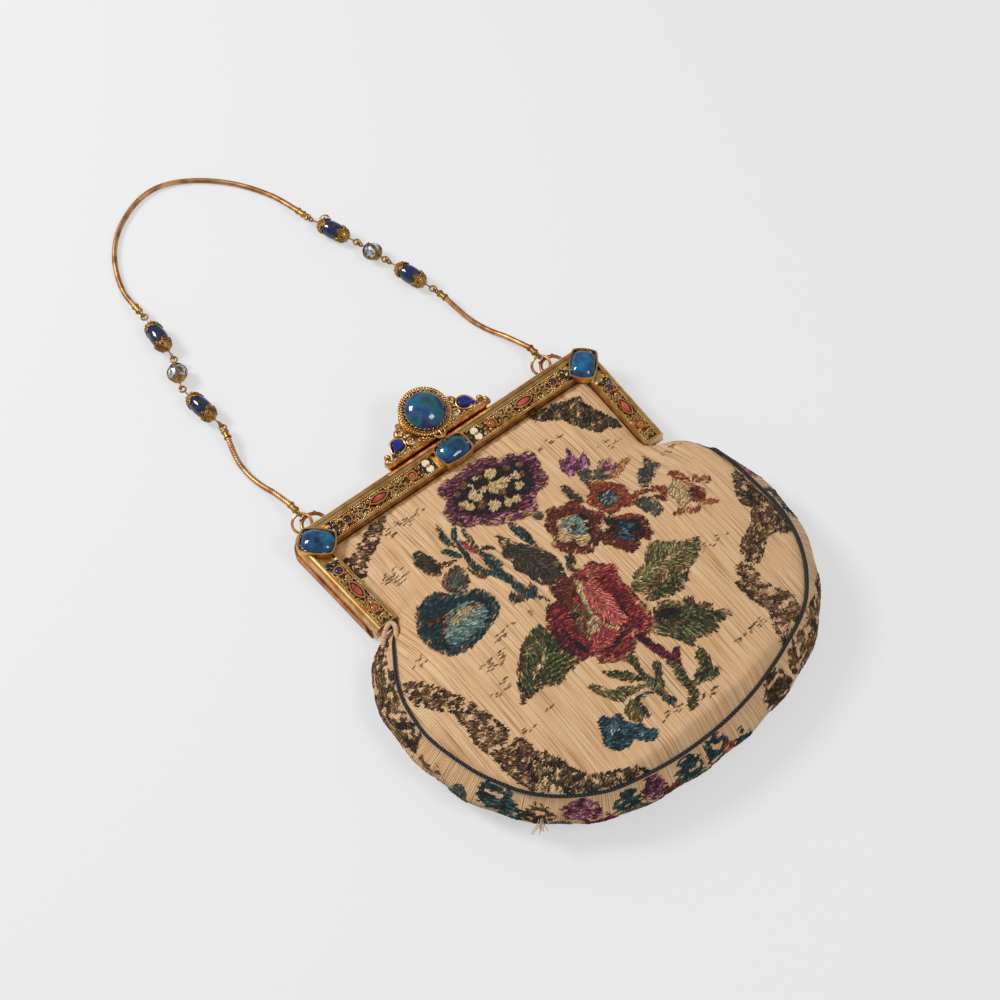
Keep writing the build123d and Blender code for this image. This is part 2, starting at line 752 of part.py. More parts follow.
chain_low = chain_radius + 0.1
chain_left_route = [
    cap_ends["cap_left_ring"], (-71.2, 82.0, 4.9), (-72.6, 88.6, 2.4), (-73.8, 96.0, chain_low),
    (-74.1, 103.5, chain_low + 0.1), (-73.4, 109.8, 2.8), cap_ends["cap_left_bead"],
]
chain_long_route = [
    cap_ends["cap_long_left"], (-63.7, 211.6, 3.2), (-62.6, 218.5, chain_low + 0.1), (-60.0, 227.3, chain_low),
    (-55.7, 236.8, chain_low), (-50.2, 244.7, chain_low), (-44.2, 250.6, chain_low),
    (-37.9, 254.9, chain_low), (-31.2, 258.5, chain_low), (-23.8, 260.9, chain_low),
    (-16.0, 261.2, chain_low), (-7.9, 258.8, chain_low), (0.4, 253.9, chain_low),
    (7.8, 247.6, chain_low), (14.5, 240.2, chain_low), (19.6, 232.6, chain_low),
    (23.6, 225.0, chain_low), (26.3, 217.4, 2.2), cap_ends["cap_long_right"],
]
chain_right_route = [
    cap_ends["cap_right_bead"], (52.9, 110.6, 3.1), (54.3, 103.9, chain_low + 0.2),
    (56.3, 97.2, chain_low), (58.5, 90.8, 2.0), (60.3, 84.6, 4.4), cap_ends["cap_right_ring"],
]
for name, route in {"chain_left": chain_left_route, "chain_long": chain_long_route,
                    "chain_right": chain_right_route}.items():
    save(round_cord(route, chain_radius, name), name)


def bag_outline(grow, inset=0.0):
    """Bag outline at one height, grown about its belly line and pulled in by a wall."""

    def at(x, y, share=1.0):
        """Point of the plain outline, moved by a share of the growth."""
        change = (grow * share if grow > 0 else grow) - inset
        wide = (bag_half + change) / bag_half
        tall = (bag_bottom - bag_belly + change) / (bag_bottom - bag_belly)
        lift = (bag_belly - bag_shoulder + change) / (bag_belly - bag_shoulder)
        rise = y + bag_belly
        return (x * wide, rise * (lift if rise > 0 else tall) - bag_belly)

    def neck_at(side):
        """Neck point, where the side wall hardly bulges."""
        return at(side * bag_neck, -bag_shoulder, neck_bulge)

    def upper_at(side):
        """Point halfway from the neck to the belly."""
        return at(side * (bag_half - 6.4), -31.5, upper_bulge)

    belly = (bag_half, -bag_belly)
    lower = (bag_half - 4.4, 14.5 - bag_bottom + 30)
    corner = (bag_half - 14.5, 29.0 - bag_bottom)
    round_in = (bag_half - 28.0, 15.4 - bag_bottom)
    base = (bag_half - 46.0, 5.6 - bag_bottom)
    with BuildSketch(mode=Mode.PRIVATE) as shape:
        with BuildLine():
            ThreePointArc(at(-base[0], base[1]), at(0, -bag_bottom), at(*base))
            ThreePointArc(at(*base), at(*round_in), at(*corner))
            ThreePointArc(at(*corner), at(*lower), at(*belly))
            ThreePointArc(at(*belly), upper_at(1), neck_at(1))
            Line(neck_at(1), neck_at(-1))
            ThreePointArc(neck_at(-1), upper_at(-1), at(-belly[0], belly[1]))
            ThreePointArc(at(-belly[0], belly[1]), at(-lower[0], lower[1]), at(-corner[0], corner[1]))
            ThreePointArc(at(-corner[0], corner[1]), at(-round_in[0], round_in[1]), at(-base[0], base[1]))
        make_face()
    return shape.sketch


def mouth_section(y, half, low, side_height, crown):
    """Upright section of the bag's mouth: flat back, short sides and a crowned front."""
    with BuildSketch(mode=Mode.PRIVATE) as shape:
        with BuildLine():
            Polyline((half, side_height), (half, low), (-half, low), (-half, side_height))
            ThreePointArc((-half, side_height), (0, crown), (half, side_height))
        make_face()
    return Plane(origin=(0, y, 0), x_dir=(1, 0, 0), z_dir=(0, -1, 0)) * shape.sketch


def bag_form(inset):
    """Filled bag shape, pulled in by a wall thickness."""
    levels = (
        (inset, -9.0), (back_seam, 0.0), (8.0, 0.8 * gusset_bulge), (13.8, gusset_bulge), (front_seam, 0.0),
        (25.8, -11.5), (bag_thickness - inset, -46.0),
    )
    mouth_half = half_width(bar_inner) - leg_width - mouth_clearance
    neck_half = half_width(0) - leg_width - mouth_clearance
    with BuildPart(mode=Mode.PRIVATE) as form:
        for z, grow in levels:
            with BuildSketch(Plane.XY.offset(z)):
                add(bag_outline(grow, inset))
        loft(ruled=True)
    sections = [
        mouth_section(bar_inner - mouth_clearance + (1 if inset > 0 else 0), mouth_half - inset, inset,
                      9.4 - inset, 9.8 - inset),
        mouth_section(20, (mouth_half + neck_half) / 2 - inset, inset, 10.2 - inset, 12.0 - inset),
        mouth_section(0, neck_half - inset, inset, 11.4 - inset, 14.8 - inset),
        mouth_section(-25, neck_half - 2 - inset, inset, 17.0 - inset, 23.0 - inset),
        mouth_section(-62, neck_half - 9 - inset, inset, 23.0 - inset, 28.6 - inset),
    ]
    with BuildPart(mode=Mode.PRIVATE) as mouth:
        for section in sections:
            add(section)
        loft(ruled=True)
    with BuildPart(mode=Mode.PRIVATE) as both:
        add(form.part)
        add(mouth.part)
    return both.part


def side_band(points):
    """Slab across the whole bag with the given outline in Y and Z."""
    with BuildPart(mode=Mode.PRIVATE) as band:
        with BuildSketch(Plane.YZ.offset(-150)):
            Polygon(*points, align=None)
        extrude(amount=300)
    return band.part


seam_gap = piping_radius + seam_clearance
panel_edge = 0.5
front_line = [(60, 8.4), (-3, 9.4), (-13, 14.0), (-26, 19.6), (-40, front_seam), (-200, front_seam)]
back_line = [(60, 4.6), (-14, 4.6), (-30, back_seam), (-200, back_seam)]
above = [(y, z + (panel_edge if y < -5 else 0)) for y, z in front_line] + [(-200, 60), (60, 60)]
under = [(y, z - (seam_gap if y < -5 else 0)) for y, z in back_line] + [(-200, -20), (60, -20)]
between = [
    (-9.4, 4.6 + seam_gap), (-14, 4.6 + seam_gap), (-30, back_seam + seam_gap), (-200, back_seam + seam_gap),
    (-200, front_seam - seam_gap), (-40, front_seam - seam_gap), (-26, 19.6 - seam_gap),
    (-13, 14.0 - seam_gap), (-9.4, 12.3 - seam_gap),
]

outer_form = bag_form(0)
wall_form = bag_form(cloth)
with BuildPart() as front_panel:
    add(outer_form)
    add(wall_form, mode=Mode.SUBTRACT)
    add(side_band(above), mode=Mode.INTERSECT)
save(front_panel.part, "front_panel")

with BuildPart() as back_panel:
    add(outer_form)
    add(wall_form, mode=Mode.SUBTRACT)
    add(side_band(under), mode=Mode.INTERSECT)
save(back_panel.part, "back_panel")

with BuildPart() as gusset:
    add(outer_form)
    add(wall_form, mode=Mode.SUBTRACT)
    add(side_band(between), mode=Mode.INTERSECT)
save(gusset.part, "gusset")

with BuildPart() as lining:
    add(bag_form(cloth + lining_gap))
    add(bag_form(cloth + lining_gap + lining_cloth), mode=Mode.SUBTRACT)
    add(side_band([(-9.4, -5), (-9.4, 40), (-200, 40), (-200, -5)]), mode=Mode.INTERSECT)
save(lining.part, "lining")


def piping_points(z, tail):
    """Route of a corded seam just outside the bag's outline, with a tail at each end."""
    edges = bag_outline(piping_out).edges()
    right = [edge for edge in edges if edge.center().X > bag_neck / 2 and edge.center().Y < -bag_shoulder - 5]
    base = edges.sort_by(Axis.Y)[0]
    points = [(abs((base @ share).X), (base @ share).Y, z) for share in (0.6, 0.72, 0.85)]
    for edge in sorted(right, key=lambda one: one.center().Y):
        flip = (edge @ 0).Y > (edge @ 1).Y
        for share in (0, 0.26, 0.51, 0.76):
            point = edge @ (1 - share if flip else share)
            if point.Y < tail[0][1] - 6:
                points.append((point.X, point.Y, z))
    points = points + tail
    return [(-x, y, z0) for x, y, z0 in reversed(points)] + points


front_tail = [(bag_half - 6.6, -25.6, front_seam - 2.2), (bag_half - 11.9, -16.8, 16.0),
              (bag_half - 17.0, -9.2, 12.9)]
back_tail = [(bag_half - 7.4, -25.4, back_seam + 0.4), (bag_half - 13.4, -15.8, back_seam + 0.8)]
save(round_cord(piping_points(front_seam, front_tail), piping_radius, "piping_front"), "piping_front")
save(round_cord(piping_points(back_seam, back_tail), piping_radius, "piping_back"), "piping_back")
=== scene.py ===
"""Looks of an embroidered silk evening purse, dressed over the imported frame, in metres."""
import logging
import math
from dataclasses import dataclass, field
from enum import Enum

import bmesh
import bpy
import numpy as np
from mathutils import Matrix, Vector


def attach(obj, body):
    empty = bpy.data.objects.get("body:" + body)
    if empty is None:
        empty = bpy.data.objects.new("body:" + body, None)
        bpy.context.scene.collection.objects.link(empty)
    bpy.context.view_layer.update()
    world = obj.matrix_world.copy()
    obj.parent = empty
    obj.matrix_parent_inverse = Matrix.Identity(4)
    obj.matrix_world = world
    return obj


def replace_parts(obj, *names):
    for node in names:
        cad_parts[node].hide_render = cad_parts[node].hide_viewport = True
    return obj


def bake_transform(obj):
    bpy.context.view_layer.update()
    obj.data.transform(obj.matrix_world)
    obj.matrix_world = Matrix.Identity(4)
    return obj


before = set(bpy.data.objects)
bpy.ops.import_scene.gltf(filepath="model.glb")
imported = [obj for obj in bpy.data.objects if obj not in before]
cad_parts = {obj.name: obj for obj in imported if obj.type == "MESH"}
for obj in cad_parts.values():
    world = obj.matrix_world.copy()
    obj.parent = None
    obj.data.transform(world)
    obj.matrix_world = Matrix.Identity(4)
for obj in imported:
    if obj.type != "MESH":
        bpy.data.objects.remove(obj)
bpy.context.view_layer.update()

MM = 0.001
LOG = logging.getLogger("purse")
BACK = "back_half"
FRONT = "front_half"
CLASP = "clasp"
# Points along a spiral, and the radius of its eye in mm
SPIRAL_STEPS, SPIRAL_EYE = 22, 0.25
# Points along each edge of a cloth, and along each seam
EDGE_STEPS, SEAM_STEPS = 400, 500
# Colour of the silk where no yarn covers it
BARE_SILK = "C9A472"


# ---------------------------------------------------------------- colours and nodes
def linear(code: str) -> tuple[float, float, float, float]:
    """Turn an sRGB hex colour into a linear one.

    Args:
        code: six hex digits.

    Returns:
        Red, green, blue and alpha.
    """
    parts = [int(code[i:i + 2], 16) / 255 for i in (0, 2, 4)]
    out = [c / 12.92 if c <= 0.04045 else ((c + 0.055) / 1.055) ** 2.4 for c in parts]
    return (out[0], out[1], out[2], 1.0)


def feed(tree: bpy.types.NodeTree, node: bpy.types.Node, values: dict) -> None:
    """Set or link a node's inputs.

    Args:
        tree: the node tree.
        node: the node.
        values: inputs by name or index, each a value or another node's output.
    """
    for name, value in values.items():
        if isinstance(value, bpy.types.NodeSocket):
            tree.links.new(value, node.inputs[name])
        else:
            node.inputs[name].default_value = value


def add_node(tree: bpy.types.NodeTree, kind: str, settings: dict | None = None,
             values: dict | None = None) -> bpy.types.Node:
    """Add one node with its settings, and set or link its inputs.

    Args:
        tree: the node tree.
        kind: the node's type name.
        settings: attributes of the node.
        values: inputs by name or index, each a value or another node's output.

    Returns:
        The new node.
    """
    node = tree.nodes.new(kind)
    for name, value in (settings or {}).items():
        setattr(node, name, value)
    feed(tree, node, values or {})
    return node


class Bench:
    """A new material, with short calls for the nodes that its finish needs."""

    def __init__(self, name: str) -> None:
        """Start the material with its shader and object coordinates."""
        self.material = bpy.data.materials.new(name)
        self.material.use_nodes = True
        self.tree = self.material.node_tree
        self.shader = self.tree.nodes["Principled BSDF"]
        self.place = add_node(self.tree, "ShaderNodeTexCoord").outputs["Object"]

    def math(self, operation: str, *values: object) -> bpy.types.NodeSocket:
        """Result of one sum on numbers or sockets."""
        return add_node(self.tree, "ShaderNodeMath", {"operation": operation}, dict(enumerate(values))).outputs[0]

    def spread(self, value: object, low: float, high: float, start: float = 0.0,
               end: float = 1.0) -> bpy.types.NodeSocket:
        """Value that goes from start to end while the source goes from low to high."""
        return add_node(self.tree, "ShaderNodeMapRange",
                        values={"Value": value, 1: low, 2: high, 3: start, 4: end}).outputs[0]

    def stored(self, name: str, output: str) -> bpy.types.NodeSocket:
        """Attribute stored on the mesh."""
        return add_node(self.tree, "ShaderNodeAttribute", {"attribute_name": name}).outputs[output]

    def ramp(self, source: bpy.types.NodeSocket, stops: tuple[tuple[float, str], ...]) -> bpy.types.NodeSocket:
        """Colour ramp from hex stops."""
        node = add_node(self.tree, "ShaderNodeValToRGB", values={"Fac": source})
        elements = node.color_ramp.elements
        while len(elements) < len(stops):
            elements.new(0.5)
        for element, (place, code) in zip(elements, stops):
            element.position = place
            element.color = linear(code)
        return node.outputs["Color"]

    def mix(self, factor: object, first: object, second: object) -> bpy.types.NodeSocket:
        """Mix of two colours, each a colour or a socket."""
        return add_node(self.tree, "ShaderNodeMix", {"data_type": "RGBA", "blend_type": "MIX"},
                        {0: factor, 6: first, 7: second}).outputs[2]

    def noise(self, place: bpy.types.NodeSocket, size_mm: float, detail: float = 3.0,
              stretch: tuple[float, float, float] = (1, 1, 1)) -> bpy.types.NodeSocket:
        """Noise whose blotches have a size in millimetres.

        Args:
            place: coordinates.
            size_mm: blotch size.
            detail: octaves.
            stretch: how much longer the blotches are along each axis.

        Returns:
            The noise value.
        """
        scale = [1 / (size_mm * MM * s) for s in stretch]
        moved = add_node(self.tree, "ShaderNodeMapping", values={"Vector": place, "Scale": scale})
        return add_node(self.tree, "ShaderNodeTexNoise",
                        values={"Vector": moved.outputs[0], "Scale": 1.0, "Detail": detail}).outputs[0]

    def bands(self, place: bpy.types.NodeSocket, direction: str, size_mm: float, values: dict) -> bpy.types.NodeSocket:
        """Wavy bands of a size in millimetres.

        Args:
            place: coordinates.
            direction: the direction they follow each other in.
            size_mm: length from one band to the next.
            values: more inputs of the wave node.

        Returns:
            The bands' value.
        """
        # The wave node fits 20 rad into one unit at scale 1
        return add_node(self.tree, "ShaderNodeTexWave", {"wave_type": "BANDS", "bands_direction": direction},
                        {"Vector": place, "Scale": 2 * math.pi / (20 * size_mm * MM)} | values).outputs["Fac"]

    def bump(self, height: bpy.types.NodeSocket, depth_mm: float, strength: float = 1.0) -> None:
        """Bump of a real depth on the shader, from a height of 0 to 1."""
        node = add_node(self.tree, "ShaderNodeBump",
                        values={"Height": height, "Distance": depth_mm * MM, "Strength": strength})
        feed(self.tree, self.shader, {"Normal": node.outputs[0]})

    def coat(self, values: dict) -> bpy.types.Material:
        """Set or link the shader's inputs and hand over the material."""
        feed(self.tree, self.shader, values)
        return self.material


@dataclass(frozen=True)
class Finish:
    """What every finish has: its name and the record's slot."""

    name: str
    slot: str


@dataclass(frozen=True)
class GiltBrass(Finish):
    """Stamped and gilt brass: bright on what is rubbed, brown where dirt has settled."""

    bright: str
    worn: str
    dirt: str
    roughness: float
    crevice_mm: float = 1.2
    ground_z_mm: float = 0.0

    def build(self) -> bpy.types.Material:
        """Build the material: gilding, rubbed spots, dirt in the corners and fine scratches."""
        bench = Bench(self.name)
        blotch = bench.noise(bench.place, 5.0, 4.0)
        gilding = bench.ramp(blotch, ((0.35, self.worn), (0.6, self.bright)))
        corner = add_node(bench.tree, "ShaderNodeAmbientOcclusion", {"samples": 8},
                          {"Distance": self.crevice_mm * MM}).outputs["AO"]
        speck = bench.noise(bench.place, 0.8, 2.0)
        dirty = bench.math("MULTIPLY", bench.spread(corner, 0.30, 0.85, 1.0, 0.0), bench.math("ADD", speck, 0.42))
        if self.ground_z_mm:
            height = add_node(bench.tree, "ShaderNodeSeparateXYZ", values={0: bench.place}).outputs["Z"]
            low = bench.spread(height, (self.ground_z_mm + 0.08) * MM, (self.ground_z_mm + 0.45) * MM, 0.92, 0.0)
            dirty = bench.math("MAXIMUM", dirty, low)
        bench.bump(bench.noise(bench.place, 0.35, 2.0, (14, 1.5, 1.5)), 0.02, 0.5)
        # Gilding reflects as metal; the dirt on it is matt
        return bench.coat({"Base Color": bench.mix(dirty, gilding, linear(self.dirt)),
                           "Metallic": bench.spread(dirty, 0.3, 1.0, 1.0, 0.35),
                           "Roughness": bench.spread(blotch, 0.3, 0.7, self.roughness + 0.12, self.roughness)})


@dataclass(frozen=True)
class Cabochon(Finish):
    """Polished stone or glass paste, clouded inside: a wet-looking skin over mottled colour."""

    clouds: tuple[tuple[float, str], ...]
    cloud_mm: float
    vein: str
    vein_share: float
    roughness: float = 0.08
    stretch: tuple[float, float, float] = (1, 1, 1)

    def build(self) -> bpy.types.Material:
        """Build the material: soft clouds, thin veins and a clear polished coat."""
        bench = Bench(self.name)
        base = bench.ramp(bench.noise(bench.place, self.cloud_mm, 4.0, self.stretch), self.clouds)
        thread = bench.noise(bench.place, self.cloud_mm * 0.8, 2.0, self.stretch)
        away = bench.math("ABSOLUTE", bench.math("SUBTRACT", thread, 0.53))
        line = bench.spread(away, 0.0, 0.03, self.vein_share, 0.0)
        bench.bump(bench.noise(bench.place, 2.5, 2.0), 0.05, 0.25)
        return bench.coat({"Base Color": bench.mix(line, base, linear(self.vein)), "Roughness": self.roughness,
                           "IOR": 1.52, "Coat Weight": 0.35, "Coat Roughness": 0.04})


@dataclass(frozen=True)
class Cloth(Finish):
    """Ribbed silk rep with the pattern woven in: warp ribs, slubs and short floats of coloured yarn."""

    pale: str
    tan: str
    shadow: str
    rib_mm: float
    pattern: bool = True
    sheen: float = 0.25

    def build(self) -> bpy.types.Material:
        """Build the material: ribs along the cloth's length, slubs, stains and the woven colours."""
        bench = Bench(self.name)
        grain = bench.stored("grain", "Vector")
        # One rib is two warp ends, drawn a little coarser than life so that it shows
        wave = bench.bands(grain, "X", self.rib_mm, {"Distortion": 2.6, "Detail": 2.0, "Detail Scale": 0.22})
        streak = bench.noise(grain, 0.75, 3.0, (1, 38, 1))
        broad = bench.noise(grain, 14.0, 3.0, (1, 2.5, 1))
        colour = bench.ramp(streak, ((0.30, self.shadow), (0.47, self.tan), (0.66, self.pale)))
        colour = bench.mix(bench.spread(wave, 0.05, 0.7, 0.5, 0.0), colour, linear(self.shadow))
        colour = bench.mix(bench.spread(broad, 0.42, 0.68, 0.0, 0.28), colour, linear(self.tan))
        if self.pattern:
            yarn = bench.stored("yarn", "Color")
            ragged = bench.noise(grain, 0.55, 2.0, (2.6, 1, 1))
            edge = bench.math("ADD", bench.stored("cover", "Fac"), bench.math("MULTIPLY_ADD", ragged, 1.1, -0.55))
            # Painted shade: the yarn colour that shows on the cloth between the stitches runs towards near-black in
            # ragged patches
            dim = bench.mix(ragged, bench.mix(0.55, yarn, linear("241A14")), yarn)
            colour = bench.mix(bench.spread(edge, 0.42, 0.58), colour, dim)
        bench.bump(bench.math("MULTIPLY_ADD", wave, 0.5, streak), 0.34)
        return bench.coat({"Base Color": colour, "Roughness": 0.72, "Sheen Weight": self.sheen,
                           "Sheen Roughness": 0.4, "Specular IOR Level": 0.3})


@dataclass(frozen=True)
class YarnFinish(Finish):
    """Fine wool and silk yarn: matt, slightly hairy, each float its own shade."""

    def build(self) -> bpy.types.Material:
        """Build the material from the stitches' own colours, with painted shade in the gaps between the strands."""
        bench = Bench(self.name)
        hair = bench.noise(bench.place, 0.25, 2.0)
        # Painted shade: where the fine noise is low the yarn colour runs towards near-black, for the gaps between
        # strands
        gap = bench.spread(hair, 0.35, 0.6, 0.35, 0.0)
        bench.bump(hair, 0.12, 0.6)
        return bench.coat({"Base Color": bench.mix(gap, bench.stored("yarn", "Color"), linear("120A08")),
                           "Roughness": 0.7, "Specular IOR Level": 0.35, "Sheen Weight": 0.04})


@dataclass(frozen=True)
class Enamel(Finish):
    """Fired glass enamel: thick glossy colour with tiny pits."""

    colour: str
    shade: str

    def build(self) -> bpy.types.Material:
        """Build the material: two close shades, gloss and a slightly wavy skin."""
        bench = Bench(self.name)
        cloud = bench.noise(bench.place, 0.9, 2.0)
        bench.bump(cloud, 0.06, 0.4)
        return bench.coat({"Base Color": bench.ramp(cloud, ((0.35, self.shade), (0.65, self.colour))),
                           "Roughness": 0.16, "Coat Weight": 0.8})


@dataclass(frozen=True)
class PipingSatin(Finish):
    """Twisted satin cord: dark, with a painted highlight along each turn."""

    dark: str
    light: str

    def build(self) -> bpy.types.Material:
        """Build the material with slanting turns of thread, from the tube's own length map."""
        bench = Bench(self.name)
        wave = bench.bands(bench.stored("grain", "Vector"), "DIAGONAL", 0.8, {"Distortion": 0.6})
        bench.bump(wave, 0.2, 0.7)
        # Painted highlight: each turn's band runs from the dark colour up to the lighter one
        return bench.coat({"Base Color": bench.ramp(wave, ((0.2, self.dark), (0.9, self.light))),
                           "Roughness": 0.5, "Specular IOR Level": 0.3})


# The frame's mouldings are rubbed bright; its strips keep their dark ground
GILT = GiltBrass("Gilt brass, stamped", "gilt_brass", "E2B878", "BC8444", "3E2412", 0.24)
GILT_BACK = GiltBrass("Gilt brass, rubbed to red brass", "gilt_brass", "C08A50", "8E5230", "341A10", 0.3)
FILIGREE = GiltBrass("Gilt brass, filigree on dark ground", "gilt_brass", "ECC480", "BC8444", "140B05", 0.26, 0.7,
                     12.15)
CREST_GILT = GiltBrass("Gilt brass, cast crest", "gilt_brass", "ECC080", "BC8442", "2A1608", 0.25, 1.0)
CHAIN_BRASS = GiltBrass("Brass, plaited chain with worn gilding", "aged_brass", "D2A070", "9A6638", "38200F", 0.34,
                        0.5)
CAP_BRASS = GiltBrass("Brass, antique gilt", "aged_brass", "B98D4C", "83592C", "2E1D10", 0.36, 0.7)
BLUE_STONE = Cabochon("Glazed blue stone", "blue_stone",
                      ((0.28, "03162A"), (0.42, "053A5E"), (0.54, "085682"), (0.66, "0E6C96"), (0.8, "0A4C4E")), 5.0,
                      "04202C", 0.6)
CREST_GLASS = Cabochon("Marbled art glass", "marbled_glass",
                       ((0.34, "020B20"), (0.44, "042C54"), (0.51, "065A80"), (0.57, "065A42"), (0.63, "043A66"),
                        (0.72, "020E26")), 12.0, "4A1F70", 0.7)
LAPIS = Cabochon("Lapis lazuli, polished", "lapis", ((0.3, "0A1254"), (0.6, "162488"), (0.8, "2A3EAC")), 2.0,
                 "060930", 0.5)
CORAL = Cabochon("Coral, polished", "coral", ((0.3, "8A2A1A"), (0.55, "AC4430"), (0.8, "CC7458")), 1.6,
                 "C87458", 0.4, stretch=(2, 2, 1))
CARNELIAN = Cabochon("Carnelian, polished", "carnelian", ((0.3, "7A2A0A"), (0.55, "B4561C"), (0.8, "DC8A44")), 1.4,
                     "E0A060", 0.3)
AMETHYST = Cabochon("Amethyst glass", "amethyst_glass", ((0.3, "210A1C"), (0.6, "4A1A3C"), (0.8, "7A3A66")), 1.1,
                    "8A5078", 0.3)
BEAD_GLASS = Cabochon("Foiled bead glass, cobalt and green", "bead_glass",
                      ((0.3, "050818"), (0.42, "0C1E60"), (0.5, "070E30"), (0.58, "0C3A28"), (0.7, "061418")), 4.0,
                      "4A2C70", 0.5)
# Painted reflections: the near-black and near-white blotches stand for what the cut facets reflect
SILVER_GLASS = Cabochon("Cut crystal, foiled", "silvered_glass", ((0.38, "0C0D0E"), (0.5, "8C8F90"), (0.62, "E8EAEA")),
                        1.9, "101112", 0.8, roughness=0.05)
WHITE_ENAMEL = Enamel("White enamel", "white_enamel", "F2EBCF", "DCD0A8")
BLACK_ENAMEL = Enamel("Black enamel", "white_enamel", "1A1E20", "0C0E10")
AMBER_ENAMEL = Enamel("Amber enamel", "white_enamel", "E08A1E", "A8500F")
SILK = Cloth("Ribbed silk rep with woven flowers", "tapestry_silk", "F2D2A8", "E0B384", "A87C50", 0.85, sheen=0.08)
LINING_SILK = Cloth("Plain silk lining", "lining_silk", "DCC8A0", "C8AE82", "A88E64", 0.5, pattern=False)
YARN = YarnFinish("Wool and silk yarn", "tapestry_silk")
PIPING = PipingSatin("Navy satin cord", "piping_cord", "07090D", "262F3C")


class Wardrobe:
    """Keeps one built material for each finish."""

    built: dict[str, bpy.types.Material] = {}

    @classmethod
    def of(cls, finish: Finish) -> bpy.types.Material:
        """The finish's material, built once."""
        if finish.name not in cls.built:
            cls.built[finish.name] = finish.build()
        return cls.built[finish.name]


# ---------------------------------------------------------------- making pieces
def dress(node: str, finish: Finish) -> None:
    """Give a frame node its finish.

    Args:
        node: the node's name.
        finish: what it is made of.
    """
    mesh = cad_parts[node].data
    mesh.materials.clear()
    mesh.materials.append(Wardrobe.of(finish))


def piece(name: str, mesh: bpy.types.Mesh, finish: Finish, body: str | None, smooth: bool = True) -> bpy.types.Object:
    """Finish a mesh as a piece that rides on a body.

    Args:
        name: the piece's name.
        mesh: its mesh, in place.
        finish: what it is made of.
        body: the body it rides on, or None.
        smooth: smooth shading.

    Returns:
        The object.
    """
    mesh.name = name
    mesh.materials.clear()
    mesh.materials.append(Wardrobe.of(finish))
    mesh.polygons.foreach_set("use_smooth", np.full(len(mesh.polygons), smooth))
    made = bpy.data.objects.new(name, mesh)
    bpy.context.scene.collection.objects.link(made)
    if body:
        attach(made, body)
    LOG.info("%s: %d faces", name, len(mesh.polygons))
    return made


def mm(x: float, y: float, z: float) -> Vector:
    """A place given in millimetres, in metres."""
    return Vector((x, y, z)) * MM


def corners(mesh: bpy.types.Mesh) -> np.ndarray:
    """Places of a mesh's vertices."""
    flat = np.zeros(len(mesh.vertices) * 3)
    mesh.vertices.foreach_get("co", flat)
    return flat.reshape(-1, 3)


def follow(line: np.ndarray, along: np.ndarray, places: np.ndarray) -> np.ndarray:
    """Points of a line at the wanted places, where along says how far each of its own points is."""
    return np.stack([np.interp(places, along, line[:, k]) for k in range(line.shape[1])], 1)


def unit(rows: np.ndarray) -> np.ndarray:
    """Each row's direction, as a vector of length one."""
    return rows / np.maximum(np.linalg.norm(rows, axis=1)[:, None], 1e-9)


def from_bmesh(bm: bmesh.types.BMesh) -> bpy.types.Mesh:
    """Turn a bmesh into a mesh and free it."""
    mesh = bpy.data.meshes.new("made")
    bm.to_mesh(mesh)
    bm.free()
    return mesh


def curve_mesh(curve: bpy.types.Curve) -> bpy.types.Mesh:
    """Mesh of a curve, which is removed."""
    made = bpy.data.objects.new("curve", curve)
    mesh = bpy.data.meshes.new_from_object(made)
    bpy.data.objects.remove(made)
    bpy.data.curves.remove(curve)
    return mesh


def line_points(points: list[Vector]) -> np.ndarray:
    """Points of a smooth NURBS line along a given route in metres, read from Blender's own curve."""
    curve = bpy.data.curves.new("line", "CURVE")
    curve.dimensions = "3D"
    curve.resolution_u = 24
    spline = curve.splines.new("NURBS")
    spline.points.add(len(points) - 1)
    for point, place in zip(spline.points, points):
        point.co = (*place, 1.0)
    spline.order_u = 3
    spline.use_endpoint_u = True
    mesh = curve_mesh(curve)
    out = corners(mesh)
    bpy.data.meshes.remove(mesh)
    return out


def wires(paths: list[list[Vector]], radius: float, sides: int, closed: bool = False) -> bpy.types.Mesh:
    """Round wires along many lines, as one mesh.

    Args:
        paths: the lines in metres.
        radius: wire radius in metres.
        sides: roundness of the wire.
        closed: rings.

    Returns:
        The mesh.
    """
    curve = bpy.data.curves.new("wire", "CURVE")
    curve.dimensions = "3D"
    curve.bevel_depth = radius
    curve.bevel_resolution = sides
    curve.use_fill_caps = not closed
    for path in paths:
        spline = curve.splines.new("POLY")
        spline.points.add(len(path) - 1)
        for point, place in zip(spline.points, path):
            point.co = (*place, 1.0)
        spline.use_cyclic_u = closed
    return curve_mesh(curve)


def join(meshes: list[bpy.types.Mesh]) -> bpy.types.Mesh:
    """Put several meshes into one."""
    bm = bmesh.new()
    for mesh in meshes:
        bm.from_mesh(mesh)
        bpy.data.meshes.remove(mesh)
    return from_bmesh(bm)


def balls(places: list[tuple[Vector, float, float]],
          squash: tuple[float, float, float] = (1, 1, 1)) -> bpy.types.Mesh:
    """Many small round grains or flattened drops, as one mesh.

    Args:
        places: centre and radius in metres of each, and its turn about Z in degrees.
        squash: stretch of each ball along its own axes.

    Returns:
        The mesh.
    """
    bm = bmesh.new()
    stretch = Matrix.Diagonal((*squash, 1.0))
    for centre, radius, turn in places:
        bmesh.ops.create_icosphere(bm, subdivisions=2, radius=radius, matrix=Matrix.Translation(
            centre) @ Matrix.Rotation(math.radians(turn), 4, "Z") @ stretch)
    return from_bmesh(bm)


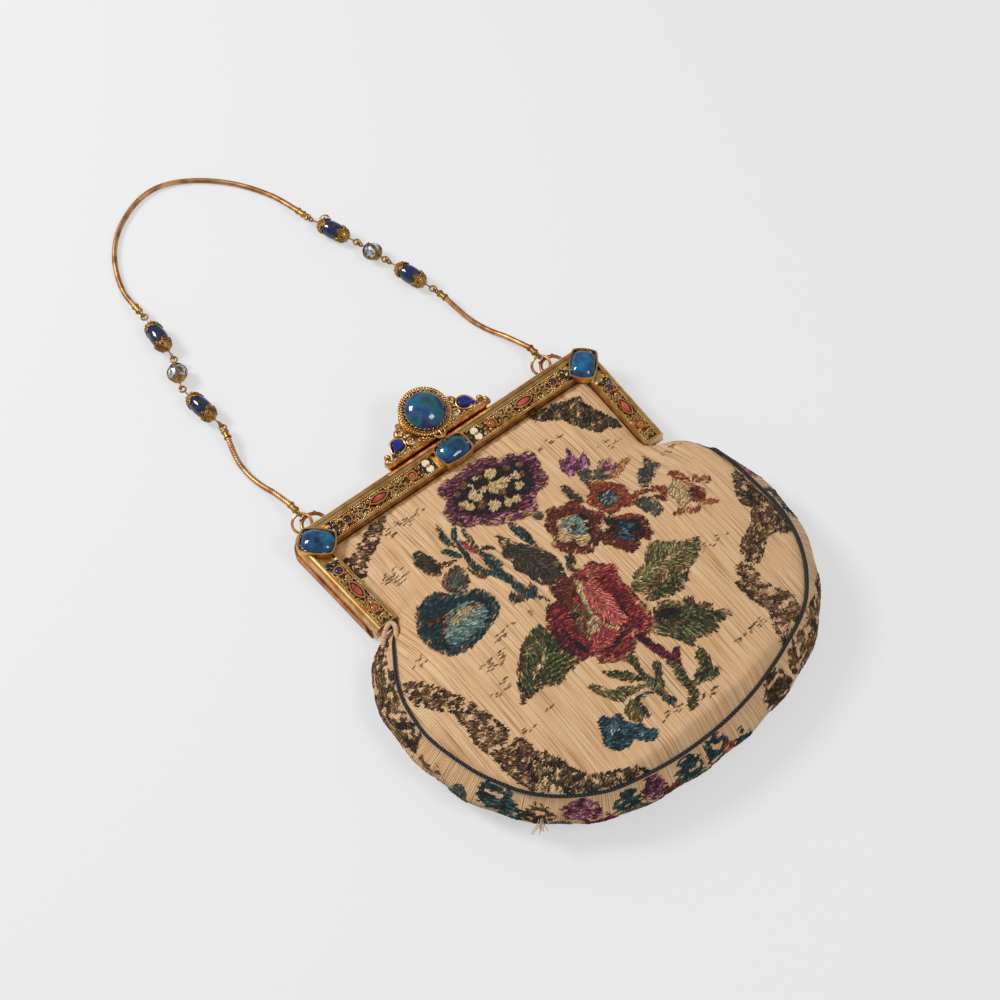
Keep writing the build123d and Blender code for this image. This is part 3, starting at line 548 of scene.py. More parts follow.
def spiral(x: float, y: float, z: float, outer: float, turns: float, start: float, sense: int) -> list[Vector]:
    """Flat spiral in millimetres, from its outer end to its eye.

    Args:
        x: centre.
        y: centre.
        z: height.
        outer: radius at its start.
        turns: number of turns.
        start: angle of its outer end in degrees.
        sense: 1 anticlockwise, -1 clockwise.

    Returns:
        Points in metres.
    """
    out = []
    for i in range(SPIRAL_STEPS + 1):
        share = i / SPIRAL_STEPS
        angle = math.radians(start + sense * 360 * turns * share)
        radius = outer + (SPIRAL_EYE - outer) * share ** 0.8
        out.append(mm(x + radius * math.cos(angle), y + radius * math.sin(angle), z))
    return out


def rope(points: list[Vector], wire: float, twist_mm: float, closed: bool = False) -> bpy.types.Mesh:
    """Two wires twisted round each other along a line.

    Args:
        points: the line in metres, evenly spaced.
        wire: radius of one wire in metres.
        twist_mm: length of one full twist.
        closed: a ring.

    Returns:
        The mesh.
    """
    paths: list[list[Vector]] = [[], []]
    length = 0.0
    total = sum((b - a).length for a, b in zip(points, points[1:] + (points[:1] if closed else [])))
    rounds = max(1, round(total / (twist_mm * MM)))
    for index, here in enumerate(points):
        after = points[(index + 1) % len(points)] if closed else points[min(index + 1, len(points) - 1)]
        before = points[index - 1] if closed or index else here
        ahead = (after - before).normalized()
        side = ahead.cross(Vector((0, 0, 1))).normalized()
        rise = side.cross(ahead)
        if index:
            length += (here - before).length
        turn = 2 * math.pi * rounds * length / total
        for half in (0, 1):
            angle = turn + math.pi * half
            paths[half].append(here + (side * math.cos(angle) + rise * math.sin(angle)) * wire * 0.85)
    return wires(paths, wire, 1, closed)


def evenly(start: Vector, end: Vector, step_mm: float) -> list[Vector]:
    """Points from start to end, about a step apart, in metres."""
    count = max(2, int((end - start).length / (step_mm * MM)))
    return [start.lerp(end, i / count) for i in range(count + 1)]


def ring(x: float, y: float, z: float, radius: float, count: int) -> list[Vector]:
    """Points of a level circle given in millimetres, in metres."""
    return [mm(x + radius * math.cos(2 * math.pi * i / count), y + radius * math.sin(2 * math.pi * i / count), z)
            for i in range(count)]


def turned(x: float, y: float, z: float, px: float, py: float, turn: float) -> Vector:
    """Place in metres of the offset px, py from x, y in millimetres, turned by an angle in radians."""
    return mm(x + px * math.cos(turn) - py * math.sin(turn), y + px * math.sin(turn) + py * math.cos(turn), z)


def tube(points: np.ndarray, radius: float, sides: int, step: float, relief: object = None) -> bpy.types.Mesh:
    """Round tube along a line, with an optional relief on its skin and a grain attribute.

    Args:
        points: line in metres.
        radius: tube radius in metres.
        sides: faces round it.
        step: ring spacing in metres.
        relief: function of length along and angle that returns a radius factor.

    Returns:
        The mesh.
    """
    gaps = np.linalg.norm(np.diff(points, axis=0), axis=1)
    along = np.concatenate([[0], np.cumsum(gaps)])
    count = max(2, int(along[-1] / step))
    places = np.linspace(0, along[-1], count + 1)
    line = follow(points, along, places)
    ahead = unit(np.gradient(line, axis=0))
    side = unit(np.cross(ahead, np.array([0.0, 0.0, 1.0])))
    rise = np.cross(side, ahead)
    bm = bmesh.new()
    bmesh.ops.create_cone(bm, cap_ends=True, segments=sides, radius1=1, radius2=1, depth=1)
    walls = [edge for edge in bm.edges if abs(edge.verts[0].co.z - edge.verts[1].co.z) > 0.5]
    bmesh.ops.subdivide_edges(bm, edges=walls, cuts=count - 1, use_grid_fill=True)
    mesh = from_bmesh(bm)
    flat = corners(mesh)
    index = np.clip(np.rint((flat[:, 2] + 0.5) * count).astype(int), 0, count)
    angle = np.arctan2(flat[:, 1], flat[:, 0])
    factor = relief(places[index], angle) if relief else 1.0
    out = line[index] + (side[index] * np.cos(angle)[:, None] + rise[index] * np.sin(angle)[:, None]) * (
        radius * factor * np.ones(len(angle)))[:, None]
    mesh.vertices.foreach_set("co", out.ravel())
    grain = mesh.attributes.new("grain", "FLOAT_VECTOR", "POINT")
    grain.data.foreach_set("vector", np.stack([places[index], angle * radius, np.zeros(len(angle))], 1).ravel())
    mesh.update()
    return mesh


# ---------------------------------------------------------------- the cloth's pattern
class Yarn(Enum):
    """Yarn shades of the pattern, from dark to light, as hex colours."""

    SCROLL = ("3A2618", "5C4028", "7A5534", "A8835A")
    SCROLL_DARK = ("241A14", "40301F", "5F4A30", "8A7048")
    DASH = ("7A5C40", "8A6648", "A07C58")
    VIOLET = ("30141C", "5E2A38", "7E3E50", "A05A70", "C08A90")
    NIGHT = ("1A1618", "241C1C", "33261F", "151A1E")
    BLUSH_BAR = ("C08A78", "D8B088", "B0707A")
    TEAL = ("14242A", "20393E", "2E4C4C", "48605C")
    UMBER = ("33261C", "4A382A", "5C4638", "3A4038")
    RUST_SHADE = ("7A4A2E", "96603A")
    ROSE = ("943634", "B8524A", "CE7262", "A44040")
    MOSS_GREY = ("4A4438", "5E6456", "6B5544", "3E5450")
    SAGE = ("5F7C74", "7F968E", "A0B0A0", "4A6460")
    SAGE_DARK = ("2A3E3E", "5F7C78", "8FA098", "1A2626")
    CREAM = ("EAC68C", "DAB27A", "F2D8A8")
    RUST = ("5E2818", "7E3820", "A04C2C", "4A2018")
    RUST_WARM = ("8E3E22", "A8542E", "C0703E", "6E3020")
    ROSE_BUD = ("7A3A58", "A86884", "C890A0", "5A2A44")
    PEACH = ("C88A54", "D89A64", "B87844")
    PEACH_DARK = ("B05E36", "C87C4C", "8E4426", "D89C68")
    TEAL_BRIGHT = ("12282E", "20424C", "335860", "50707A")
    OLIVE = ("6C663A", "867E48", "9C925A", "4C4628")
    FOREST = ("26261A", "3C4028", "5A5C34", "807C4C")
    UMBER_WARM = ("5A3826", "7A5036", "8E6644")
    WINE = ("4A1420", "66202C", "7E2C36")
    ROSE_DEEP = ("5C161C", "8E2E2C", "B04640", "C46052")
    UMBER_RED = ("52241E", "6A3426", "7E4632")
    MOSS_GOLD = ("5E5A30", "8A7A44", "A89858", "7A4A34")
    ROSE_GOLD = ("B06A44", "C4805A", "A04A40")
    ROSE_PETAL = ("BE544A", "D67868", "E89A88", "A43E3A")
    SAGE_BLUE = ("4A6470", "6E8890", "8FA8A8")
    FRINGE = ("3A2418", "6A4A30", "A07850", "CFA878")


# Yarns whose motifs have a broken tan and brown edge
FRINGED = (Yarn.FOREST, Yarn.OLIVE, Yarn.UMBER, Yarn.TEAL, Yarn.VIOLET, Yarn.MOSS_GREY, Yarn.RUST, Yarn.ROSE_DEEP)


class Shade(Enum):
    """How the shades of a motif follow its shape."""

    PATCH = 0
    EDGE = 1
    VEIN = 2


@dataclass(frozen=True)
class Motif:
    """One field of colour with a drawn outline, in millimetres on the front cloth."""

    name: str
    yarn: Yarn
    shade: Shade
    cover: float
    outline: tuple[tuple[float, float], ...]


MOTIFS: tuple[Motif, ...] = (
    Motif("left corner scroll", Yarn.SCROLL, Shade.PATCH, 0.68, (
        (-66.4, 32.7), (-58.7, 35.1), (-48.8, 40.9), (-43.6, 41.0), (-43.0, 38.4), (-49.5, 32.3), (-54.2, 28.7),
        (-58.7, 27.4), (-64.2, 23.3), (-68.8, 18.4), (-69.6, 24.1), (-70.5, 29.9), (-70.0, 33.3))),
    Motif("upper right scroll", Yarn.SCROLL_DARK, Shade.PATCH, 0.86, (
        (38.0, 41.3), (47.2, 40.0), (55.9, 36.8), (61.6, 34.1), (61.1, 29.4), (64.9, 21.6), (67.4, 11.2),
        (61.1, 13.1), (56.0, 13.9), (51.9, 18.4), (48.7, 24.1), (46.9, 30.0), (40.6, 34.8))),
    Motif("lower left scroll", Yarn.SCROLL, Shade.PATCH, 0.62, (
        (-86.8, -33.1), (-82.8, -36.6), (-78.0, -44.3), (-73.0, -55.2), (-69.5, -66.7), (-67.7, -76.6),
        (-64.9, -86.2), (-65.5, -94.0), (-62.2, -95.8), (-70.0, -105.3), (-75.7, -99.5), (-78.6, -88.9),
        (-79.2, -80.2), (-80.7, -74.8), (-79.9, -64.0), (-80.4, -57.3), (-83.9, -51.9), (-89.0, -44.8),
        (-88.8, -40.8))),
    Motif("base scroll", Yarn.SCROLL_DARK, Shade.PATCH, 0.72, (
        (-64.7, -90.2), (-59.5, -98.7), (-53.7, -110.1), (-36.7, -120.2), (-34.7, -125.3), (-55.0, -117.7),
        (-64.5, -110.9), (-71.9, -101.6), (-72.1, -94.5))),
    Motif("right scroll top", Yarn.SCROLL_DARK, Shade.PATCH, 0.72, (
        (85.0, -40.1), (85.7, -46.8), (85.7, -54.3), (84.1, -60.9), (76.2, -60.7), (74.1, -56.7), (75.5, -51.5),
        (79.7, -45.7))),
    Motif("right scroll upper", Yarn.SCROLL, Shade.PATCH, 0.78, (
        (81.1, -57.9), (86.4, -61.0), (86.3, -69.6), (84.0, -78.1), (77.5, -76.3), (71.4, -75.6), (64.6, -80.3),
        (59.9, -82.9), (55.9, -80.0), (56.5, -74.5), (62.5, -70.4), (69.3, -66.8), (75.5, -61.4))),
    Motif("right scroll lower", Yarn.SCROLL, Shade.PATCH, 0.62, (
        (51.9, -78.3), (55.9, -81.2), (56.6, -88.8), (58.1, -95.7), (61.5, -100.4), (60.8, -108.4), (57.2, -112.2),
        (49.5, -115.9), (43.3, -115.6), (44.6, -109.3), (47.8, -102.1), (46.1, -94.4), (45.0, -88.2), (46.6, -82.8))),
    Motif("dash a", Yarn.DASH, Shade.PATCH, 0.34, (
        (-48.9, 33.1), (-35.5, 33.3), (-25.6, 30.0), (-25.5, 28.7), (-35.4, 28.0), (-46.3, 28.4))),
    Motif("dash b", Yarn.DASH, Shade.PATCH, 0.34, (
        (-63.3, 13.6), (-55.1, 16.6), (-51.9, 8.7), (-58.5, 8.0))),
    Motif("dash c", Yarn.DASH, Shade.PATCH, 0.34, (
        (-56.6, -45.4), (-42.3, -41.0), (-34.7, -42.8), (-39.3, -44.8), (-50.8, -45.6))),
    Motif("dash d", Yarn.DASH, Shade.PATCH, 0.34, (
        (-66.1, -50.1), (-55.9, -49.5), (-42.8, -46.6), (-49.6, -50.3), (-60.4, -51.5))),
    Motif("dash e", Yarn.DASH, Shade.PATCH, 0.34, (
        (-64.5, -61.5), (-58.6, -59.0), (-54.1, -59.5), (-57.3, -63.5), (-63.2, -63.7))),
    Motif("dash f", Yarn.DASH, Shade.PATCH, 0.34, (
        (-80.2, -30.6), (-74.6, -27.1), (-72.2, -31.6), (-76.7, -33.7))),
    Motif("dash g", Yarn.DASH, Shade.PATCH, 0.34, (
        (28.0, 22.1), (35.3, 25.6), (43.3, 21.6), (36.6, 21.7), (30.6, 19.8))),
    Motif("dash h", Yarn.DASH, Shade.PATCH, 0.34, (
        (50.1, 9.6), (58.1, 8.3), (65.9, 4.2), (59.2, 4.4), (51.2, 4.2))),
    Motif("dash i", Yarn.DASH, Shade.PATCH, 0.34, (
        (67.6, -14.4), (76.1, -11.3), (80.7, -13.7), (74.8, -15.2), (67.9, -16.5))),
    Motif("dash j", Yarn.DASH, Shade.PATCH, 0.34, (
        (43.7, -62.9), (54.4, -63.4), (61.8, -63.9), (53.8, -66.6), (44.4, -65.8))),
    Motif("dash k", Yarn.DASH, Shade.PATCH, 0.34, (
        (27.5, -103.0), (37.3, -101.8), (46.0, -102.9), (37.5, -105.1), (28.9, -105.1))),
    Motif("dash l", Yarn.DASH, Shade.PATCH, 0.34, (
        (-64.4, -80.7), (-58.9, -80.8), (-55.3, -82.4), (-59.2, -82.9), (-63.5, -82.2))),
    Motif("dash m", Yarn.DASH, Shade.PATCH, 0.34, (
        (-53.1, -79.7), (-49.1, -79.3), (-46.5, -80.4), (-49.4, -81.3))),
    Motif("dash n", Yarn.DASH, Shade.PATCH, 0.34, (
        (-19.5, -110.4), (-12.0, -110.2), (-5.6, -111.4), (-11.4, -112.9), (-17.7, -112.5))),
    Motif("dash o", Yarn.DASH, Shade.PATCH, 0.34, (
        (-2.0, -114.0), (5.6, -113.9), (10.2, -114.4), (3.4, -116.4), (-1.4, -115.8))),
    Motif("dash p", Yarn.DASH, Shade.PATCH, 0.34, (
        (-41.4, -41.8), (-30.8, -41.5), (-29.5, -44.5), (-40.5, -45.1))),
    Motif("dash q", Yarn.DASH, Shade.PATCH, 0.34, (
        (-59.6, -48.5), (-48.2, -50.3), (-48.2, -53.5), (-59.5, -52.3))),
    Motif("violet fringe", Yarn.VIOLET, Shade.EDGE, 1.0, (
        (-17.6, 34.2), (-11.4, 36.9), (-3.8, 35.8), (1.7, 37.4), (11.0, 34.8), (13.1, 30.2), (18.0, 30.1),
        (22.4, 25.8), (25.6, 26.2), (25.7, 21.1), (23.8, 14.4), (22.0, 8.6), (17.7, 5.1), (12.6, 5.0), (9.8, 0.3),
        (6.4, -2.5), (0.4, -1.4), (-5.7, 0.6), (-12.6, 5.0), (-16.7, 8.6), (-20.6, 10.7), (-24.4, 16.3),
        (-22.8, 22.9), (-18.7, 26.4), (-18.4, 30.5))),
    Motif("violet heart", Yarn.NIGHT, Shade.PATCH, 1.0, (
        (-8.4, 28.1), (-2.1, 30.7), (5.5, 29.6), (11.4, 26.3), (17.7, 25.3), (20.2, 21.4), (18.1, 13.9),
        (14.8, 8.6), (8.5, 8.7), (4.3, 5.2), (-3.9, 7.1), (-10.9, 11.5), (-16.2, 18.0), (-16.6, 22.8), (-12.9, 26.7))),
    Motif("fringe bars", Yarn.BLUSH_BAR, Shade.PATCH, 0.5, (
        (-10.1, 8.1), (-4.8, 6.1), (0.9, 2.8), (8.0, 1.0), (6.2, -1.2), (-0.3, 0.3), (-7.1, 3.2), (-12.2, 6.4))),
    Motif("fringe bars left", Yarn.BLUSH_BAR, Shade.PATCH, 0.45, (
        (-17.9, 22.1), (-18.3, 17.1), (-15.8, 13.2), (-12.1, 10.8), (-14.4, 9.7), (-17.9, 12.3), (-20.7, 16.6),
        (-20.7, 21.1))),
    Motif("teal stem", Yarn.TEAL, Shade.EDGE, 1.0, (
        (-5.7, 0.6), (-3.1, -3.1), (-3.3, -10.2), (-5.1, -17.5), (-6.4, -18.2), (-7.0, -10.5), (-7.2, -4.0))),
    Motif("feather leaf", Yarn.UMBER, Shade.VEIN, 1.0, (
        (-12.9, -0.2), (-11.4, -4.8), (-9.4, -11.0), (-5.7, -19.0), (-4.6, -27.7), (-5.6, -35.5), (-8.0, -40.1),
        (-13.6, -40.2), (-17.9, -33.9), (-19.0, -26.9), (-20.3, -21.0), (-18.0, -17.3), (-18.8, -11.5),
        (-15.7, -7.6))),
    Motif("small umber shoot", Yarn.UMBER, Shade.EDGE, 1.0, (
        (-21.7, -1.3), (-18.5, -2.5), (-18.4, -6.7), (-19.9, -4.2), (-21.8, -3.2))),
    Motif("spray one", Yarn.TEAL, Shade.EDGE, 1.0, (
        (-29.1, 20.5), (-29.3, 16.2), (-29.7, 12.1), (-29.7, 7.7), (-29.3, 4.7), (-31.3, 7.4), (-32.9, 10.6),
        (-31.8, 14.8))),
    Motif("spray two", Yarn.TEAL, Shade.EDGE, 1.0, (
        (-25.4, 15.0), (-24.0, 13.3), (-26.9, 9.6), (-27.7, 5.0), (-28.1, -0.8), (-29.3, 1.2), (-29.3, 8.2),
        (-27.7, 12.1))),
    Motif("spray shadow", Yarn.RUST_SHADE, Shade.PATCH, 1.0, (
        (-32.4, -4.5), (-31.9, -10.9), (-29.5, -16.4), (-32.6, -15.2), (-33.4, -9.4))),
    Motif("spray three", Yarn.TEAL, Shade.EDGE, 1.0, (
        (-22.8, 10.9), (-21.6, 9.4), (-22.0, 4.4), (-22.8, -0.1), (-21.8, -8.4), (-21.4, -14.8), (-24.4, -17.7),
        (-26.5, -12.6), (-25.2, -5.8), (-24.5, -0.5), (-24.0, 6.2))),
    Motif("spray stem", Yarn.TEAL, Shade.EDGE, 1.0, (
        (-29.7, 2.5), (-28.5, -1.4), (-28.6, -8.4), (-27.3, -13.7), (-24.4, -17.7), (-23.5, -21.6), (-23.4, -28.2),
        (-22.2, -33.4), (-20.2, -31.4), (-19.9, -35.5), (-21.1, -39.5), (-19.3, -44.3), (-22.4, -40.3),
        (-25.4, -36.5), (-26.9, -30.1), (-27.5, -22.4), (-29.5, -16.4), (-31.9, -10.9), (-31.2, -4.7))),
    Motif("thin shoot", Yarn.TEAL, Shade.EDGE, 1.0, (
        (-36.6, 8.1), (-32.5, 5.8), (-30.5, 0.5), (-33.1, 1.6), (-36.1, 6.4))),
    Motif("pink strip", Yarn.ROSE, Shade.EDGE, 1.0, (
        (-27.1, 8.0), (-25.4, 4.4), (-23.7, -1.3), (-25.7, -1.2), (-27.3, 3.8))),
    Motif("bud ring", Yarn.TEAL, Shade.EDGE, 1.0, (
        (-31.6, -31.8), (-28.3, -31.0), (-25.5, -33.4), (-25.0, -36.8), (-28.5, -37.0), (-31.6, -35.1))),
    Motif("bud heart", Yarn.UMBER, Shade.PATCH, 1.0, (
        (-29.9, -32.9), (-27.9, -33.0), (-26.7, -34.9), (-28.7, -35.6))),
    Motif("left leaf", Yarn.UMBER, Shade.PATCH, 1.0, (
        (-45.7, 14.0), (-43.1, 15.2), (-41.8, 11.4), (-40.6, 7.7), (-38.9, 3.7), (-32.9, 0.1), (-36.5, 0.7),
        (-40.1, 2.1), (-42.5, -0.1), (-45.7, 1.0), (-47.3, 5.9), (-47.8, 9.8))),
    Motif("calyx", Yarn.MOSS_GREY, Shade.PATCH, 1.0, (
        (-43.8, -2.7), (-40.2, -1.5), (-35.4, -1.4), (-34.4, -5.4), (-35.7, -11.0), (-38.9, -13.8), (-43.6, -13.8),
        (-45.8, -10.6), (-45.6, -5.9))),
    Motif("small shoot right", Yarn.MOSS_GREY, Shade.PATCH, 1.0, (
        (5.2, -2.3), (7.7, -2.8), (8.0, -6.2), (5.5, -7.9), (4.1, -5.4))),
    Motif("bellflower", Yarn.TEAL, Shade.EDGE, 1.0, (
        (-61.3, -7.4), (-54.2, -4.9), (-49.5, -5.8), (-46.3, -12.1), (-42.1, -15.3), (-37.5, -18.1), (-35.9, -23.6),
        (-36.3, -30.1), (-39.0, -34.4), (-44.8, -37.5), (-51.3, -39.1), (-57.8, -39.8), (-63.9, -38.5),
        (-67.8, -33.4), (-69.1, -27.4), (-68.3, -19.4), (-65.2, -13.0))),
    Motif("bellflower heart", Yarn.SAGE, Shade.PATCH, 1.0, (
        (-55.6, -19.9), (-48.6, -19.4), (-43.2, -21.9), (-41.0, -27.6), (-42.5, -32.1), (-47.5, -35.1),
        (-54.1, -35.9), (-61.0, -35.5), (-62.6, -30.8), (-60.4, -24.5))),
    Motif("bellflower cream", Yarn.CREAM, Shade.PATCH, 0.7, (
        (-55.3, -23.0), (-49.1, -21.8), (-44.5, -25.4), (-46.5, -28.6), (-51.1, -27.0), (-56.9, -27.7))),
    Motif("bellflower streak one", Yarn.RUST, Shade.PATCH, 1.0, (
        (-61.8, -16.4), (-57.4, -18.0), (-51.7, -21.0), (-52.6, -22.0), (-58.1, -19.8), (-62.1, -18.1))),
    Motif("bellflower streak two", Yarn.RUST, Shade.PATCH, 0.8, (
        (-57.2, -21.2), (-56.3, -23.0), (-60.4, -27.1), (-63.8, -28.9), (-61.9, -25.7))),
    Motif("bellflower streak three", Yarn.RUST, Shade.PATCH, 1.0, (
        (-46.0, -22.0), (-42.6, -24.5), (-41.4, -27.3), (-43.9, -26.3), (-46.0, -23.9))),
    Motif("pink bud", Yarn.ROSE_BUD, Shade.PATCH, 1.0, (
        (30.9, 11.8), (34.3, 11.6), (37.4, 14.5), (39.0, 13.0), (37.6, 9.6), (38.4, 7.0), (42.3, 9.1), (42.2, 6.4),
        (41.6, 3.2), (39.0, 0.9), (36.8, 0.9), (35.2, 3.3), (31.8, 1.7), (29.7, 3.6), (29.4, 6.6), (29.9, 9.0))),
    Motif("bud calyx", Yarn.MOSS_GREY, Shade.PATCH, 1.0, (
        (33.9, 2.6), (36.9, 1.8), (39.1, -0.2), (37.3, -2.7), (32.6, -6.5), (32.7, -2.2))),
    Motif("plum bud", Yarn.VIOLET, Shade.PATCH, 1.0, (
        (44.0, 0.1), (47.5, 0.7), (49.9, -0.7), (48.3, -3.4), (51.0, -5.2), (49.0, -7.5), (44.8, -7.4),
        (43.3, -5.8), (42.8, -3.1))),
    Motif("plum calyx", Yarn.MOSS_GREY, Shade.PATCH, 1.0, (
        (40.9, -1.1), (43.3, -2.5), (43.4, -8.2), (41.1, -10.1), (38.3, -8.2), (35.7, -5.4), (38.1, -3.5))),
    Motif("peach leaf", Yarn.PEACH, Shade.EDGE, 1.0, (
        (56.9, -4.8), (54.2, -4.1), (50.2, -5.4), (45.5, -8.2), (41.8, -10.8), (43.8, -11.9), (47.8, -10.6),
        (51.9, -8.4), (55.5, -6.7))),
    Motif("upper blossom", Yarn.RUST_WARM, Shade.EDGE, 1.0, (
        (25.6, -13.1), (30.1, -10.4), (32.6, -6.5), (36.7, -7.6), (40.3, -12.6), (41.8, -17.4), (40.7, -22.7),
        (38.5, -29.3), (35.2, -29.0), (32.4, -27.4), (29.5, -28.3), (26.6, -26.7), (25.8, -21.9), (24.7, -17.5))),
    Motif("upper blossom heart", Yarn.SAGE_DARK, Shade.PATCH, 1.0, (
        (30.4, -15.0), (35.4, -14.9), (37.0, -18.8), (34.0, -23.1), (30.6, -23.7), (28.0, -21.0))),
    Motif("tall leaf", Yarn.MOSS_GREY, Shade.VEIN, 1.0, (
        (61.9, -8.5), (61.9, -13.5), (61.7, -20.1), (57.4, -20.9), (52.3, -24.2), (47.0, -26.0), (47.0, -22.9),
        (49.4, -19.0), (54.0, -15.0), (58.0, -13.8))),
    Motif("branch", Yarn.RUST_WARM, Shade.PATCH, 1.0, (
        (39.1, -25.3), (43.8, -24.9), (47.0, -26.9), (50.9, -28.2), (54.1, -31.0), (53.3, -34.4), (50.3, -35.3),
        (49.7, -31.2), (46.9, -28.7), (41.9, -27.8), (39.5, -27.4))),
    Motif("branch shade", Yarn.RUST, Shade.PATCH, 1.0, (
        (47.2, -31.6), (49.2, -32.5), (49.6, -36.5), (47.9, -36.4), (46.6, -33.4))),
    Motif("side leaf", Yarn.MOSS_GREY, Shade.PATCH, 1.0, (
        (38.8, -28.6), (41.9, -28.7), (45.1, -31.5), (45.6, -36.6), (44.4, -39.9), (39.8, -40.7), (39.7, -38.4),
        (38.3, -34.4), (37.6, -31.1))),
    Motif("peach petal one", Yarn.PEACH_DARK, Shade.PATCH, 1.0, (
        (59.7, -26.4), (63.4, -27.0), (64.5, -30.7), (64.1, -36.8), (62.6, -39.2), (61.6, -36.4), (61.4, -32.6),
        (59.4, -29.9))),
    Motif("peach heart", Yarn.CREAM, Shade.PATCH, 0.8, (
        (53.8, -33.0), (59.4, -30.8), (60.3, -37.0), (61.7, -40.2), (58.2, -42.5), (52.3, -44.3), (51.9, -36.8))),
    Motif("peach heart shade", Yarn.RUST, Shade.PATCH, 1.0, (
        (59.7, -39.3), (64.7, -39.3), (65.3, -43.4), (61.7, -46.5), (57.7, -44.7), (57.9, -41.3))),
    Motif("peach petal two", Yarn.PEACH_DARK, Shade.PATCH, 0.8, (
        (68.1, -34.0), (72.3, -39.7), (68.9, -40.3), (65.0, -35.8))),
    Motif("peach petal three", Yarn.PEACH_DARK, Shade.PATCH, 1.0, (
        (67.0, -49.9), (62.8, -50.1), (59.2, -46.9), (62.6, -46.4))),
    Motif("peach petal four", Yarn.PEACH_DARK, Shade.PATCH, 1.0, (
        (46.0, -44.9), (49.4, -43.5), (53.0, -45.9), (58.6, -47.3), (56.6, -49.1), (52.5, -48.1), (49.3, -46.1))),
    Motif("brown leaf", Yarn.UMBER, Shade.PATCH, 1.0, (
        (23.3, 0.6), (25.8, -0.3), (26.1, -5.0), (25.4, -10.8), (23.0, -13.6), (21.3, -10.7), (21.9, -4.9))),
    Motif("great blossom", Yarn.RUST, Shade.EDGE, 1.0, (
        (5.2, -10.7), (11.5, -4.7), (15.2, -7.0), (17.0, -8.3), (20.4, -7.6), (22.4, -11.9), (22.5, -18.4),
        (24.9, -23.0), (24.2, -27.1), (19.6, -29.2), (17.0, -33.1), (12.0, -35.6), (7.2, -36.5), (2.4, -32.3),
        (-0.3, -28.1), (-1.2, -22.6), (2.8, -18.6), (2.8, -14.4))),
    Motif("great blossom cream", Yarn.CREAM, Shade.PATCH, 1.0, (
        (8.2, -13.8), (13.1, -13.8), (16.9, -16.7), (19.3, -21.3), (16.4, -26.4), (9.7, -32.7), (6.9, -30.2),
        (7.8, -26.6), (4.2, -26.9), (2.4, -22.3), (6.5, -18.3))),
    Motif("great blossom sage", Yarn.SAGE, Shade.PATCH, 0.85, (
        (9.0, -15.7), (15.7, -16.5), (18.8, -21.9), (15.3, -27.2), (11.0, -27.8), (7.6, -23.6), (8.9, -18.8))),
    Motif("great blossom ink", Yarn.NIGHT, Shade.PATCH, 0.8, (
        (17.6, -17.5), (19.3, -21.3), (16.8, -26.7), (12.6, -30.0), (15.2, -25.3), (16.9, -20.9))),
    Motif("great blossom eye", Yarn.RUST, Shade.PATCH, 1.0, (
        (10.2, -20.1), (12.6, -20.1), (12.7, -23.3), (10.2, -23.8))),
    Motif("dark blossom", Yarn.RUST, Shade.EDGE, 1.0, (
        (17.0, -33.1), (21.6, -31.0), (23.8, -26.8), (28.2, -29.8), (32.2, -31.7), (35.4, -34.5), (36.4, -39.0),
        (34.6, -42.7), (34.0, -45.7), (30.7, -47.1), (28.4, -45.0), (24.2, -47.3), (20.6, -46.7), (18.3, -42.9),
        (16.0, -39.1), (14.8, -36.4))),
    Motif("dark blossom ink", Yarn.NIGHT, Shade.PATCH, 0.75, (
        (16.5, -34.4), (21.1, -32.3), (23.3, -27.3), (26.5, -29.3), (27.2, -32.5), (32.1, -35.1), (33.5, -39.9),
        (32.1, -43.9), (28.4, -44.1), (24.7, -43.5), (22.1, -38.5), (21.4, -34.4), (18.6, -34.5))),
    Motif("dark blossom heart", Yarn.TEAL_BRIGHT, Shade.PATCH, 1.0, (
        (25.6, -32.8), (29.0, -33.7), (31.1, -37.8), (29.0, -39.4), (26.6, -38.1), (26.8, -42.7), (23.6, -42.4),
        (22.1, -37.7), (25.4, -36.2))),
    Motif("stalk", Yarn.UMBER, Shade.PATCH, 1.0, (
        (-0.2, -30.8), (2.0, -32.8), (-1.5, -38.2), (-3.7, -39.6), (-4.3, -36.6))),
    Motif("olive leaf", Yarn.OLIVE, Shade.VEIN, 1.0, (
        (10.5, -59.1), (16.6, -55.2), (21.9, -54.8), (26.9, -49.8), (31.0, -49.1), (35.0, -51.8), (38.5, -54.9),
        (43.3, -57.5), (47.3, -59.3), (44.1, -63.4), (39.2, -66.6), (33.9, -67.0), (25.0, -63.7), (19.0, -64.2),
        (13.1, -65.5), (10.6, -62.8))),
    Motif("olive leaf shade", Yarn.FOREST, Shade.VEIN, 1.0, (
        (11.3, -67.5), (17.4, -64.4), (25.8, -64.3), (33.9, -67.0), (31.2, -70.9), (25.2, -72.9), (19.2, -71.9),
        (14.0, -70.0))),
    Motif("olive leaf rib", Yarn.CREAM, Shade.PATCH, 0.9, (
        (12.9, -58.7), (20.9, -58.2), (27.8, -58.3), (39.1, -58.9), (38.9, -60.0), (27.3, -59.6), (20.5, -59.5),
        (13.1, -59.7))),
    Motif("olive leaf brown", Yarn.UMBER_WARM, Shade.PATCH, 0.8, (
        (11.9, -66.8), (17.4, -63.7), (24.6, -62.6), (31.0, -63.1), (31.0, -64.7), (23.4, -64.7), (17.0, -65.7),
        (12.7, -67.5))),
    Motif("dark leaf", Yarn.FOREST, Shade.VEIN, 1.0, (
        (9.0, -74.9), (12.1, -72.2), (18.0, -73.2), (21.7, -76.9), (26.5, -77.7), (26.2, -81.1), (30.9, -84.6),
        (29.5, -87.7), (35.4, -92.0), (33.1, -93.8), (27.9, -93.4), (24.6, -95.7), (16.5, -93.8), (11.9, -94.4),
        (9.0, -88.3), (3.5, -82.1), (6.0, -78.4))),
